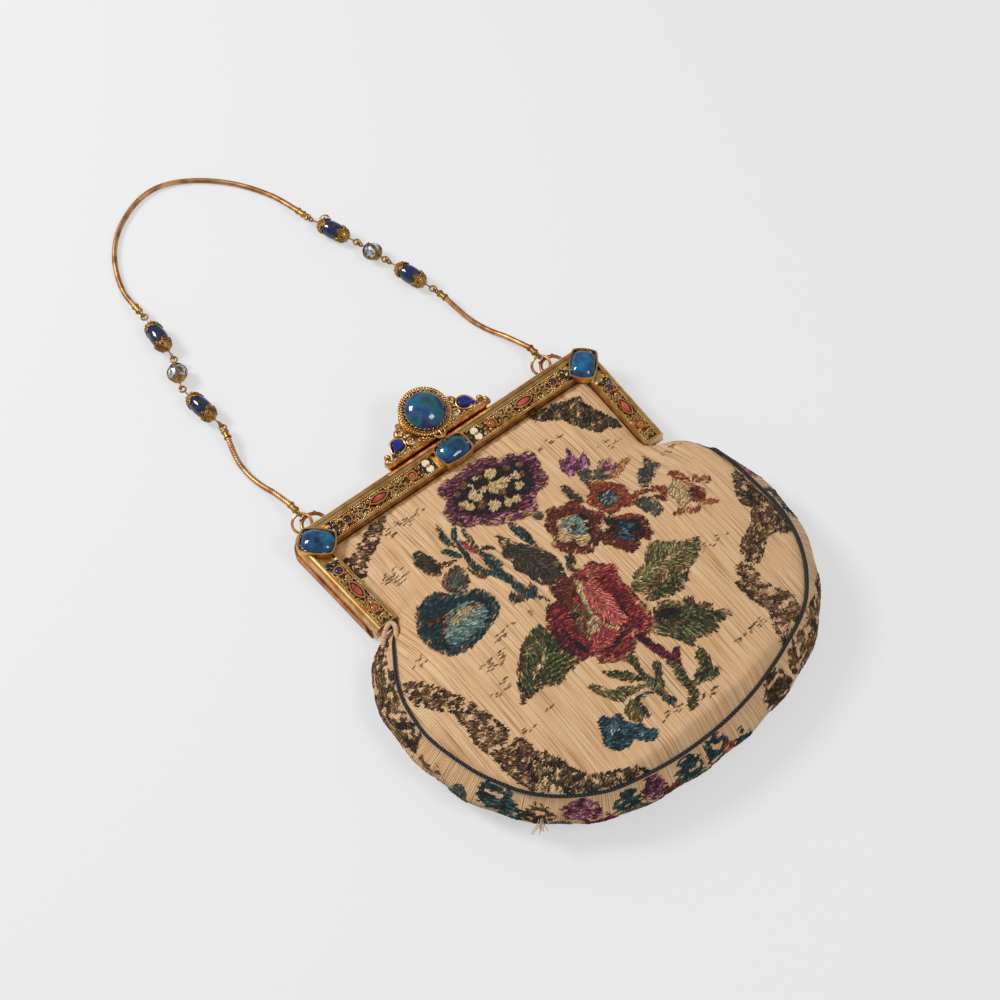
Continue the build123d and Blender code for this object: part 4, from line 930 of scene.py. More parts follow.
    Motif("dark leaf tips", Yarn.UMBER_WARM, Shade.PATCH, 0.8, (
        (23.3, -78.2), (26.7, -78.2), (26.1, -81.4), (30.9, -84.6), (29.9, -87.3), (26.1, -84.5), (23.0, -80.8))),
    Motif("dark leaf ink", Yarn.NIGHT, Shade.PATCH, 0.8, (
        (9.4, -75.2), (13.7, -75.0), (17.8, -77.5), (19.1, -80.7), (15.5, -80.8), (10.7, -78.5))),
    Motif("dark leaf rib", Yarn.UMBER_WARM, Shade.PATCH, 1.0, (
        (7.5, -76.7), (11.6, -80.6), (16.2, -84.7), (19.6, -87.9), (18.2, -87.9), (12.6, -83.4), (6.9, -78.1))),
    Motif("rose", Yarn.ROSE_DEEP, Shade.EDGE, 1.0, (
        (3.8, -39.5), (8.1, -43.4), (11.3, -48.5), (9.1, -53.6), (9.6, -61.0), (9.1, -67.6), (8.7, -73.1),
        (6.4, -77.0), (2.2, -80.6), (-2.2, -77.1), (-4.2, -80.1), (-8.3, -82.4), (-12.2, -83.8), (-15.8, -82.6),
        (-18.8, -79.8), (-21.5, -78.2), (-21.4, -74.3), (-27.9, -71.5), (-28.7, -66.2), (-29.0, -59.1),
        (-28.7, -53.0), (-26.2, -48.7), (-21.9, -45.4), (-17.6, -45.3), (-17.3, -41.1), (-13.5, -37.8),
        (-9.8, -38.4), (-5.8, -40.7), (-2.3, -39.1), (0.5, -40.9))),
    Motif("rose left shade", Yarn.WINE, Shade.PATCH, 0.9, (
        (-25.9, -49.0), (-21.9, -46.1), (-17.6, -46.0), (-16.1, -48.6), (-21.7, -52.8), (-23.5, -60.1),
        (-23.8, -67.9), (-21.4, -73.7), (-27.6, -71.1), (-29.1, -64.8), (-29.6, -57.3))),
    Motif("rose brown side", Yarn.UMBER_RED, Shade.PATCH, 0.9, (
        (-16.6, -41.6), (-13.2, -38.1), (-9.5, -39.4), (-5.5, -42.3), (-6.8, -46.4), (-12.4, -49.3), (-16.7, -50.7),
        (-17.3, -46.2))),
    Motif("rose inner moss", Yarn.MOSS_GOLD, Shade.PATCH, 0.75, (
        (-15.5, -51.7), (-10.6, -52.2), (-10.1, -59.1), (-11.3, -64.1), (-15.4, -66.6), (-16.4, -71.5),
        (-19.0, -67.1), (-19.3, -60.0), (-17.4, -55.2))),
    Motif("rose lower petal", Yarn.ROSE, Shade.VEIN, 1.0, (
        (-18.4, -67.6), (-13.1, -65.0), (-8.2, -65.5), (-5.9, -69.6), (-6.6, -73.6), (-12.6, -75.7), (-18.7, -74.2))),
    Motif("rose cream spot", Yarn.CREAM, Shade.PATCH, 0.8, (
        (-13.8, -61.0), (-10.7, -61.1), (-11.8, -66.0), (-14.8, -67.1), (-16.1, -64.9))),
    Motif("rose crown", Yarn.ROSE_GOLD, Shade.PATCH, 0.6, (
        (0.8, -42.5), (4.5, -41.8), (7.6, -44.6), (3.8, -47.8), (0.0, -48.5), (-0.6, -45.3))),
    Motif("rose petal edge", Yarn.CREAM, Shade.PATCH, 1.0, (
        (-5.7, -42.6), (-3.9, -45.5), (-6.1, -49.4), (-8.8, -55.3), (-9.3, -61.5), (-7.5, -68.1), (-4.6, -71.8),
        (-5.0, -72.7), (-8.2, -68.9), (-11.2, -62.9), (-10.4, -56.4), (-9.1, -50.1), (-7.8, -46.2))),
    Motif("rose long petal", Yarn.ROSE_PETAL, Shade.VEIN, 1.0, (
        (-3.3, -46.0), (0.0, -49.8), (1.1, -56.6), (0.4, -63.6), (0.2, -69.4), (-3.7, -71.5), (-7.1, -67.6),
        (-8.7, -60.8), (-8.4, -54.9), (-6.1, -49.4))),
    Motif("rose cleft", Yarn.NIGHT, Shade.PATCH, 0.95, (
        (2.2, -60.0), (2.3, -62.9), (1.7, -67.6), (0.2, -70.1), (-2.1, -72.0), (-4.8, -72.0), (-0.6, -69.5),
        (0.4, -65.1))),
    Motif("rose right dark", Yarn.WINE, Shade.PATCH, 0.9, (
        (0.2, -70.1), (3.0, -71.6), (3.1, -74.7), (-0.0, -75.1), (-3.6, -73.0))),
    Motif("rose bottom cleft", Yarn.NIGHT, Shade.PATCH, 0.85, (
        (-19.6, -74.2), (-13.2, -75.3), (-9.1, -73.1), (-4.9, -71.6), (-4.3, -75.3), (-8.6, -75.1), (-11.5, -76.7),
        (-16.6, -75.9))),
    Motif("rose cleft low", Yarn.NIGHT, Shade.PATCH, 0.8, (
        (-23.4, -56.9), (-23.1, -64.3), (-22.0, -68.3), (-22.1, -71.9), (-24.6, -67.9), (-24.7, -62.0))),
    Motif("rose wine eye", Yarn.NIGHT, Shade.PATCH, 0.9, (
        (-18.3, -55.1), (-15.3, -55.1), (-14.9, -57.2), (-17.2, -57.4))),
    Motif("low leaf", Yarn.FOREST, Shade.VEIN, 1.0, (
        (-49.9, -60.0), (-45.8, -56.7), (-41.6, -52.4), (-36.6, -50.6), (-30.6, -49.6), (-29.4, -52.5),
        (-28.1, -55.4), (-29.0, -60.9), (-28.8, -67.7), (-28.2, -72.2), (-33.2, -73.0), (-37.2, -74.4),
        (-41.4, -74.2), (-44.3, -73.3), (-46.4, -71.5), (-52.3, -71.8), (-57.1, -71.6), (-54.1, -69.6),
        (-53.5, -65.4))),
    Motif("low leaf edge", Yarn.UMBER_WARM, Shade.PATCH, 0.75, (
        (-49.9, -60.0), (-45.8, -56.7), (-41.6, -52.4), (-36.2, -50.1), (-34.9, -51.2), (-40.4, -53.5),
        (-44.5, -57.8), (-48.7, -61.1))),
    Motif("low leaf light", Yarn.OLIVE, Shade.PATCH, 0.8, (
        (-42.5, -56.1), (-37.4, -54.4), (-32.8, -54.9), (-31.9, -56.5), (-37.4, -57.0), (-42.9, -58.4))),
    Motif("low leaf rib", Yarn.CREAM, Shade.PATCH, 0.85, (
        (-46.7, -65.8), (-41.6, -63.0), (-36.1, -59.9), (-34.0, -60.0), (-38.3, -63.3), (-42.7, -65.3),
        (-46.2, -67.0))),
    Motif("low leaf tips", Yarn.UMBER_WARM, Shade.PATCH, 0.9, (
        (-54.3, -66.3), (-53.8, -68.3), (-55.1, -71.8), (-57.3, -71.8), (-55.3, -69.3))),
    Motif("stem low", Yarn.FOREST, Shade.EDGE, 1.0, (
        (-12.1, -83.2), (-8.9, -84.1), (-10.4, -90.3), (-9.6, -95.3), (-8.8, -98.8), (-9.3, -102.8), (-8.0, -108.1),
        (-11.1, -109.1), (-11.8, -103.9), (-12.5, -100.5), (-13.1, -97.8), (-12.8, -92.2))),
    Motif("stem low end", Yarn.TEAL, Shade.EDGE, 0.9, (
        (-11.1, -102.2), (-9.1, -105.1), (-8.8, -109.0), (-11.0, -109.4), (-12.1, -105.1))),
    Motif("sprig one", Yarn.FOREST, Shade.EDGE, 1.0, (
        (-23.4, -81.8), (-17.9, -85.2), (-14.7, -90.1), (-12.6, -94.6), (-17.0, -92.0), (-21.2, -87.4),
        (-23.2, -83.7))),
    Motif("sprig two", Yarn.OLIVE, Shade.VEIN, 1.0, (
        (-31.7, -82.5), (-28.6, -84.9), (-25.2, -89.6), (-17.7, -93.7), (-13.1, -97.8), (-19.2, -96.2),
        (-24.6, -95.8), (-28.2, -93.1), (-30.7, -89.1), (-31.9, -84.6))),
    Motif("sprig three", Yarn.FOREST, Shade.EDGE, 1.0, (
        (-5.7, -91.6), (-3.3, -92.3), (-3.3, -94.1), (-6.0, -98.0), (-7.8, -101.0), (-9.7, -98.1), (-7.7, -94.5))),
    Motif("teal link", Yarn.TEAL, Shade.EDGE, 1.0, (
        (-19.8, -97.9), (-15.1, -99.2), (-12.4, -101.2), (-16.1, -100.3), (-20.0, -98.9))),
    Motif("wine stem", Yarn.WINE, Shade.PATCH, 1.0, (
        (-3.2, -76.6), (0.2, -80.4), (1.0, -84.7), (2.7, -89.7), (3.6, -93.4), (4.7, -91.2), (8.0, -92.2),
        (4.7, -95.6), (3.2, -98.2), (0.9, -93.5), (-1.6, -89.5), (-2.5, -84.4), (-3.2, -80.1))),
    Motif("wine stem shade", Yarn.NIGHT, Shade.PATCH, 0.8, (
        (-3.2, -76.6), (-0.3, -80.2), (-0.4, -83.7), (-2.5, -84.4), (-3.2, -80.1))),
    Motif("green stem", Yarn.FOREST, Shade.EDGE, 1.0, (
        (-0.0, -92.9), (3.3, -97.6), (2.5, -102.8), (1.9, -106.1), (2.6, -108.7), (-2.5, -115.1), (-6.0, -116.0),
        (-5.9, -113.3), (-2.0, -109.7), (-1.6, -104.2), (-0.9, -97.3))),
    Motif("right sprig", Yarn.FOREST, Shade.VEIN, 1.0, (
        (12.3, -96.8), (14.7, -97.5), (14.8, -101.6), (13.4, -105.8), (10.1, -107.0), (14.4, -107.2),
        (15.0, -109.1), (10.8, -110.5), (5.2, -109.2), (1.6, -107.3), (4.8, -104.5), (8.9, -103.2), (10.4, -99.8))),
    Motif("right sprig light", Yarn.OLIVE, Shade.PATCH, 0.6, (
        (12.3, -97.2), (14.5, -97.7), (13.4, -100.6), (10.2, -103.4), (5.7, -105.2), (8.4, -102.1))),
    Motif("little blue", Yarn.TEAL_BRIGHT, Shade.EDGE, 1.0, (
        (-38.6, -96.9), (-36.2, -95.8), (-33.5, -98.6), (-30.1, -98.9), (-29.9, -102.0), (-28.3, -105.3),
        (-25.3, -106.8), (-25.0, -109.9), (-22.1, -114.2), (-26.0, -115.4), (-29.6, -113.6), (-31.6, -110.0),
        (-34.7, -111.9), (-37.2, -110.7), (-40.8, -108.1), (-42.0, -104.4), (-40.3, -100.6))),
    Motif("little blue heart", Yarn.SAGE_BLUE, Shade.PATCH, 0.9, (
        (-36.2, -100.1), (-31.6, -100.7), (-32.1, -104.6), (-32.7, -107.0), (-35.4, -104.3), (-38.0, -103.1))),
    Motif("little blue side", Yarn.SAGE_BLUE, Shade.PATCH, 0.6, (
        (-28.5, -107.3), (-26.0, -107.7), (-26.5, -111.7), (-28.9, -112.0))),
    Motif("little calyx", Yarn.MOSS_GOLD, Shade.PATCH, 1.0, (
        (-26.9, -98.4), (-22.8, -97.9), (-21.3, -99.7), (-21.4, -103.2), (-23.2, -107.0), (-26.7, -105.1),
        (-27.8, -101.3))),
    Motif("little calyx edge", Yarn.TEAL, Shade.EDGE, 0.9, (
        (-20.9, -98.2), (-19.6, -100.2), (-20.0, -105.0), (-21.0, -108.2), (-22.3, -106.9), (-21.9, -102.9))),
    Motif("hinge green", Yarn.MOSS_GREY, Shade.PATCH, 0.4, (
        (-73.6, -4.5), (-67.8, -3.3), (-67.3, -5.2), (-72.6, -8.5))),
)

# Cream and tan cells of the violet flower, as x, y and radius
CREAM_CELLS = (
    (5.0, 26.4, 3.0), (1.4, 19.6, 3.4), (12.5, 18.5, 2.1), (10.3, 13.1, 2.1), (1.5, 9.5, 2.5), (5.0, 8.2, 2.4),
    (-4.3, 11.5, 2.7), (-13.3, 20.8, 1.8), (-12.9, 17.8, 2.1), (-7.5, 22.9, 2.6), (-7.1, 19.9, 2.0),
    (-3.1, 20.9, 1.8), (7.1, 19.6, 2.1), (5.4, 17.0, 1.4), (-5.2, 26.7, 1.2), (-1.3, 28.2, 1.4))
TAN_CELLS = (
    (-8.0, 29.5, 2.0), (-12.9, 26.7, 1.5), (17.9, 22.0, 2.0), (12.4, 24.9, 1.8), (2.4, 15.1, 2.0),
    (-8.4, 15.6, 2.0), (0.4, 28.5, 1.5), (-15.4, 19.1, 1.2), (15.5, 17.2, 1.3))


@dataclass(frozen=True)
class GussetPatch:
    """A cut piece of the pattern on the side wall: place, place across, size along, share across."""

    near: tuple[float, float]
    across: float
    length: float
    width: float
    yarn: Yarn
    cover: float


GUSSET_PATCHES: tuple[GussetPatch, ...] = (
    GussetPatch((-80, -10), 0.45, 7, 0.5, Yarn.UMBER_RED, 0.8),
    GussetPatch((-86, -18), 0.5, 16, 0.7, Yarn.SCROLL, 0.55),
    GussetPatch((-89, -27), 0.25, 12, 0.45, Yarn.SCROLL_DARK, 0.8),
    GussetPatch((-95, -34), 0.45, 16, 0.8, Yarn.SCROLL, 0.6),
    GussetPatch((-96, -43), 0.5, 16, 0.8, Yarn.SCROLL, 0.75),
    GussetPatch((-96, -51), 0.3, 12, 0.5, Yarn.SCROLL_DARK, 0.8),
    GussetPatch((-94, -66), 0.5, 18, 0.5, Yarn.DASH, 0.25),
    GussetPatch((-94, -81), 0.6, 8, 0.5, Yarn.MOSS_GREY, 0.9),
    GussetPatch((-83, -91), 0.25, 14, 0.5, Yarn.TEAL, 0.85),
    GussetPatch((-80, -97), 0.5, 10, 0.5, Yarn.TEAL, 0.7),
    GussetPatch((-74, -105), 0.4, 12, 0.5, Yarn.SCROLL_DARK, 0.6),
    GussetPatch((-69, -111), 0.7, 10, 0.4, Yarn.MOSS_GREY, 0.7),
    GussetPatch((-60, -112), 0.3, 14, 0.45, Yarn.VIOLET, 0.9),
    GussetPatch((-56, -119), 0.6, 12, 0.5, Yarn.WINE, 0.7),
    GussetPatch((-45, -120), 0.35, 12, 0.5, Yarn.TEAL, 0.8),
    GussetPatch((-42, -127), 0.7, 14, 0.4, Yarn.UMBER_WARM, 0.6),
    GussetPatch((-34, -123), 0.3, 10, 0.5, Yarn.VIOLET, 0.9),
    GussetPatch((-28, -129), 0.6, 12, 0.5, Yarn.RUST, 0.6),
    GussetPatch((-19, -127), 0.35, 12, 0.6, Yarn.TEAL, 0.8),
    GussetPatch((-15, -133), 0.7, 12, 0.4, Yarn.FOREST, 0.7),
    GussetPatch((-5, -129), 0.35, 12, 0.6, Yarn.TEAL, 0.8),
    GussetPatch((2, -132), 0.5, 10, 0.5, Yarn.RUST_WARM, 0.7),
    GussetPatch((8, -132), 0.55, 8, 0.5, Yarn.TEAL, 0.7),
    GussetPatch((31, -125), 0.35, 16, 0.6, Yarn.SCROLL_DARK, 0.8),
    GussetPatch((31, -130), 0.7, 12, 0.5, Yarn.RUST_SHADE, 0.5),
    GussetPatch((51, -120), 0.4, 20, 0.7, Yarn.SCROLL, 0.7),
    GussetPatch((66, -111), 0.5, 18, 0.8, Yarn.SCROLL, 0.65),
    GussetPatch((77, -102), 0.6, 12, 0.6, Yarn.SCROLL_DARK, 0.7),
    GussetPatch((98, -67), 0.45, 10, 0.6, Yarn.TEAL, 0.7),
    GussetPatch((98, -58), 0.3, 8, 0.5, Yarn.MOSS_GREY, 0.6),
    GussetPatch((98, -40), 0.4, 14, 0.8, Yarn.VIOLET, 0.85),
    GussetPatch((96, -31), 0.4, 16, 0.8, Yarn.VIOLET, 0.9),
    GussetPatch((91, -21), 0.35, 16, 0.8, Yarn.VIOLET, 0.85),
    GussetPatch((86, -13), 0.4, 8, 0.6, Yarn.VIOLET, 0.7),
)


def grainy(points: np.ndarray, size: float, seed: int) -> np.ndarray:
    """Smooth value noise from 0 to 1 in the plane.

    Args:
        points: x and y of each point.
        size: blotch size in the same unit.
        seed: which noise.

    Returns:
        One value for each point.
    """
    cells = 97
    table = np.random.default_rng(seed).random((cells, cells))
    at = points / size
    low = np.floor(at).astype(int)
    part = at - low
    part = part * part * (3 - 2 * part)
    (x0, y0), (x1, y1) = low.T % cells, (low.T + 1) % cells
    top = table[x0, y0] * (1 - part[:, 0]) + table[x1, y0] * part[:, 0]
    bottom = table[x0, y1] * (1 - part[:, 0]) + table[x1, y1] * part[:, 0]
    return top * (1 - part[:, 1]) + bottom * part[:, 1]


def bend(p0: np.ndarray, p1: np.ndarray, p2: np.ndarray, p3: np.ndarray, t: float) -> np.ndarray:
    """Point at the share t of the smooth curve from p1 to p2, with their neighbours p0 and p3."""
    return 0.5 * (2 * p1 + (p2 - p0) * t + (2 * p0 - 5 * p1 + 4 * p2 - p3) * t ** 2
                  + (3 * p1 - p0 - 3 * p2 + p3) * t ** 3)


def smooth_outline(points: tuple[tuple[float, float], ...]) -> np.ndarray:
    """Closed smooth line through the given points."""
    p = np.array(points, float)
    around = [np.roll(p, shift, 0) for shift in (1, 0, -1, -2)]
    return np.stack([bend(*around, t) for t in np.arange(5) / 5], 1).reshape(-1, 2)


def inside_and_edge(points: np.ndarray, line: np.ndarray) -> tuple[np.ndarray, np.ndarray]:
    """Which points lie in a closed line, and how far each is from it.

    Args:
        points: x and y of each point.
        line: the closed line's points.

    Returns:
        A mask and distances.
    """
    a, b = line, np.roll(line, -1, 0)
    x, y = points[:, :1], points[:, 1:]
    crosses = (a[:, 1] > y) != (b[:, 1] > y)
    with np.errstate(divide="ignore", invalid="ignore"):
        where = a[:, 0] + (y - a[:, 1]) / (b[:, 1] - a[:, 1]) * (b[:, 0] - a[:, 0])
    inside = (np.sum(crosses & (x < where), 1) % 2).astype(bool)
    run = b - a
    share = np.clip(((x - a[:, 0]) * run[:, 0] + (y - a[:, 1]) * run[:, 1]) / np.maximum((run ** 2).sum(1), 1e-9), 0, 1)
    gap = np.sqrt((x - a[:, 0] - share * run[:, 0]) ** 2 + (y - a[:, 1] - share * run[:, 1]) ** 2).min(1)
    return inside, gap


def pick(yarn: Yarn, tone: np.ndarray, speck: np.ndarray) -> np.ndarray:
    """Shade of each stitch: the tone sets it and the speck strays from it.

    Args:
        yarn: the yarn.
        tone: 0 dark to 1 light.
        speck: random 0 to 1.

    Returns:
        A colour for each stitch.
    """
    shades = np.array([linear(code)[:3] for code in yarn.value])
    order = np.argsort(shades.sum(1))
    place = np.clip(tone + (speck - 0.5) * 0.8, 0, 0.999) * len(shades)
    other = (speck * 7.13) % 1.0
    depth = np.where(other < 0.16, 0.55, np.where(other > 0.84, 1.6, 1.2))
    out = shades[order[place.astype(int)]] * depth[:, None]
    return out / np.maximum(out.max(1, keepdims=True) / 0.8, 1)


def serrated(points: np.ndarray) -> np.ndarray:
    """Places to look up in the pattern: each warp column strays up or down, as woven edges do."""
    column = np.floor(points[:, 0] / 0.8).astype(int)
    stray = np.random.default_rng(41).random(997)[column % 997] - 0.5
    fine = grainy(points * np.array([1.0, 0.35]), 0.9, 42) - 0.5
    return points + np.column_stack([0.7 * fine, 1.5 * stray])


def paint(points: np.ndarray, speck: np.ndarray, stray: np.ndarray) -> tuple[np.ndarray, np.ndarray, np.ndarray]:
    """Woven colour of points on the front cloth.

    Args:
        points: x and y in millimetres.
        speck: random 0 to 1 for each point.
        stray: another random 0 to 1 for each point.

    Returns:
        Colour, cover from 0 to 1, and the yarn's direction in degrees.
    """
    colour = np.tile(linear(BARE_SILK)[:3], (len(points), 1))
    cover = np.zeros(len(points))
    lean = np.full(len(points), 18.0)
    points = serrated(points)
    blotch = grainy(points, 1.7, 3)
    patch = grainy(points * np.array([0.6, 1.0]), 1.25, 8)
    for index, motif in enumerate(MOTIFS):
        line = smooth_outline(motif.outline)
        low, high = line.min(0) - 0.5, line.max(0) + 0.5
        near = np.nonzero(((points >= low) & (points <= high)).all(1))[0]
        if not len(near):
            continue
        inside, gap = inside_and_edge(points[near], line)
        if motif.yarn is Yarn.DASH:
            rows = np.sin(2 * math.pi * points[near, 1] / 1.7 + 5 * patch[near]) > 0.35
            inside &= rows & (patch[near] * 0.6 + blotch[near] * 0.4 < 0.52)
        elif motif.cover < 1:
            inside &= patch[near] * 0.7 + stray[near] * 0.3 < 0.18 + 0.62 * motif.cover
        near, gap = near[inside], gap[inside]
        if not len(near):
            continue
        # The tone says how light the yarn is, the turn which way its stitches lie
        if motif.shade is Shade.EDGE:
            tone = np.clip(0.75 - 0.16 * gap, 0.15, 1) * 0.6 + 0.4 * blotch[near]
            turn = 20 + 35 * ((index * 7) % 3 - 1)
        elif motif.shade is Shade.VEIN:
            middle = line.mean(0)
            axis = np.linalg.svd(line - middle, full_matrices=False)[2][0]
            off = points[near] - middle
            down = off @ axis
            across = off @ np.array([-axis[1], axis[0]])
            barb = 0.5 + 0.5 * np.sin(2 * math.pi * (down - np.abs(across) * 0.9) / 2.6)
            tone = 0.15 + 0.5 * barb + 0.25 * blotch[near] - 0.3 * (np.abs(across) < 0.7)
            turn = math.degrees(math.atan2(axis[1], axis[0])) + np.where(across > 0, 32, -32)
        else:
            tone = blotch[near]
            turn = 24.0 if index % 2 else -20.0
        # A broken dark rim, then rows of stitches with a shadow between them
        rim = (gap < 0.8) & (stray[near] < 0.4)
        colour[near] = pick(motif.yarn, np.where(rim, tone - 0.45, tone), speck[near])
        colour[near[rim]] *= 0.6
        slope = np.radians(turn)
        row = np.sin(2 * math.pi * (np.cos(slope) * points[near, 1] - np.sin(slope) * points[near, 0]) / 1.5
                     + 2.4 * patch[near])
        colour[near] *= np.where(row < -0.45, 0.55, 1.08)[:, None]
        if motif.yarn in FRINGED:
            fringe = (gap < min(1.9, 0.45 * gap.max())) & (patch[near] > 0.55)
            colour[near[fringe]] = pick(Yarn.FRINGE, blotch[near[fringe]], speck[near[fringe]])
        cover[near] = 0.8 if motif.yarn is Yarn.DASH else 1.0
        lean[near] = 4.0 if motif.yarn is Yarn.DASH else turn
    for cells, yarn in ((CREAM_CELLS, Yarn.CREAM), (TAN_CELLS, Yarn.UMBER_WARM)):
        for x, y, radius in cells:
            gap = np.hypot(points[:, 0] - x, (points[:, 1] - y) * 1.1)
            near = gap < radius * (0.75 + 0.5 * patch)
            colour[near] = pick(yarn, blotch[near], speck[near])
            cover[near] = 1.0
    return colour, cover, lean


# ---------------------------------------------------------------- the cloth's shape
def resample(line: np.ndarray, count: int) -> np.ndarray:
    """Points spread evenly along an open line."""
    along = np.concatenate([[0], np.cumsum(np.linalg.norm(np.diff(line, axis=0), axis=1))])
    return follow(line, along, np.linspace(0, along[-1], count))


def rounded(line: np.ndarray) -> np.ndarray:
    """Smooth open line through measured points, ends kept."""
    padded = np.vstack([2 * line[0] - line[1], line, 2 * line[-1] - line[-2]])
    out = [bend(*padded[i:i + 4], t) for i in range(len(line) - 1) for t in np.arange(6) / 6]
    return np.vstack([out, line[-1:]])


def edge_distance(points: np.ndarray, line: np.ndarray) -> tuple[np.ndarray, np.ndarray]:
    """Distance of points to an open line, and how far along it their nearest places are."""
    a, run = line[:-1], np.diff(line, axis=0)
    span = np.linalg.norm(run, axis=1)
    before = np.concatenate([[0], np.cumsum(span)[:-1]])
    off = points[:, None, :] - a[None]
    share = np.clip((off * run).sum(2) / np.maximum(span ** 2, 1e-9), 0, 1)
    gap = np.linalg.norm(off - share[:, :, None] * run, axis=2)
    best = gap.argmin(1)
    rows = np.arange(len(points))
    return gap[rows, best], before[best] + share[rows, best] * span[best]


def grid(cols: int, rows: int) -> tuple[bpy.types.Mesh, np.ndarray, np.ndarray]:
    """Flat grid with the share across and the share down of each vertex."""
    bm = bmesh.new()
    bmesh.ops.create_grid(bm, x_segments=cols, y_segments=rows, size=0.5)
    mesh = from_bmesh(bm)
    flat = corners(mesh)
    return mesh, flat[:, 0] + 0.5, 0.5 - flat[:, 1]


def lay(mesh: bpy.types.Mesh, places: np.ndarray, grain: np.ndarray, colour: np.ndarray | None = None,
        cover: np.ndarray | None = None) -> bpy.types.Mesh:
    """Put a grid's vertices in place, in millimetres, and store its cloth attributes.

    Args:
        mesh: the grid.
        places: place of each vertex.
        grain: cloth coordinates of each vertex.
        colour: woven colour, if any.
        cover: how much of it shows.

    Returns:
        The mesh.
    """
    mesh.vertices.foreach_set("co", (places * MM).ravel())
    store = mesh.attributes.new("grain", "FLOAT_VECTOR", "POINT")
    flat = np.zeros((len(grain), 3))
    flat[:, :grain.shape[1]] = grain * MM
    store.data.foreach_set("vector", flat.ravel())
    if colour is not None:
        store = mesh.attributes.new("yarn", "FLOAT_COLOR", "POINT")
        store.data.foreach_set("color", np.hstack([colour, np.ones((len(colour), 1))]).ravel())
        store = mesh.attributes.new("cover", "FLOAT", "POINT")
        store.data.foreach_set("value", cover)
    mesh.update()
    return mesh


def soft_max(a: np.ndarray, b: np.ndarray) -> np.ndarray:
    """The larger of two heights, with a rounded joint."""
    top = np.maximum(a, b)
    return top + np.log(np.exp(a - top) + np.exp(b - top))


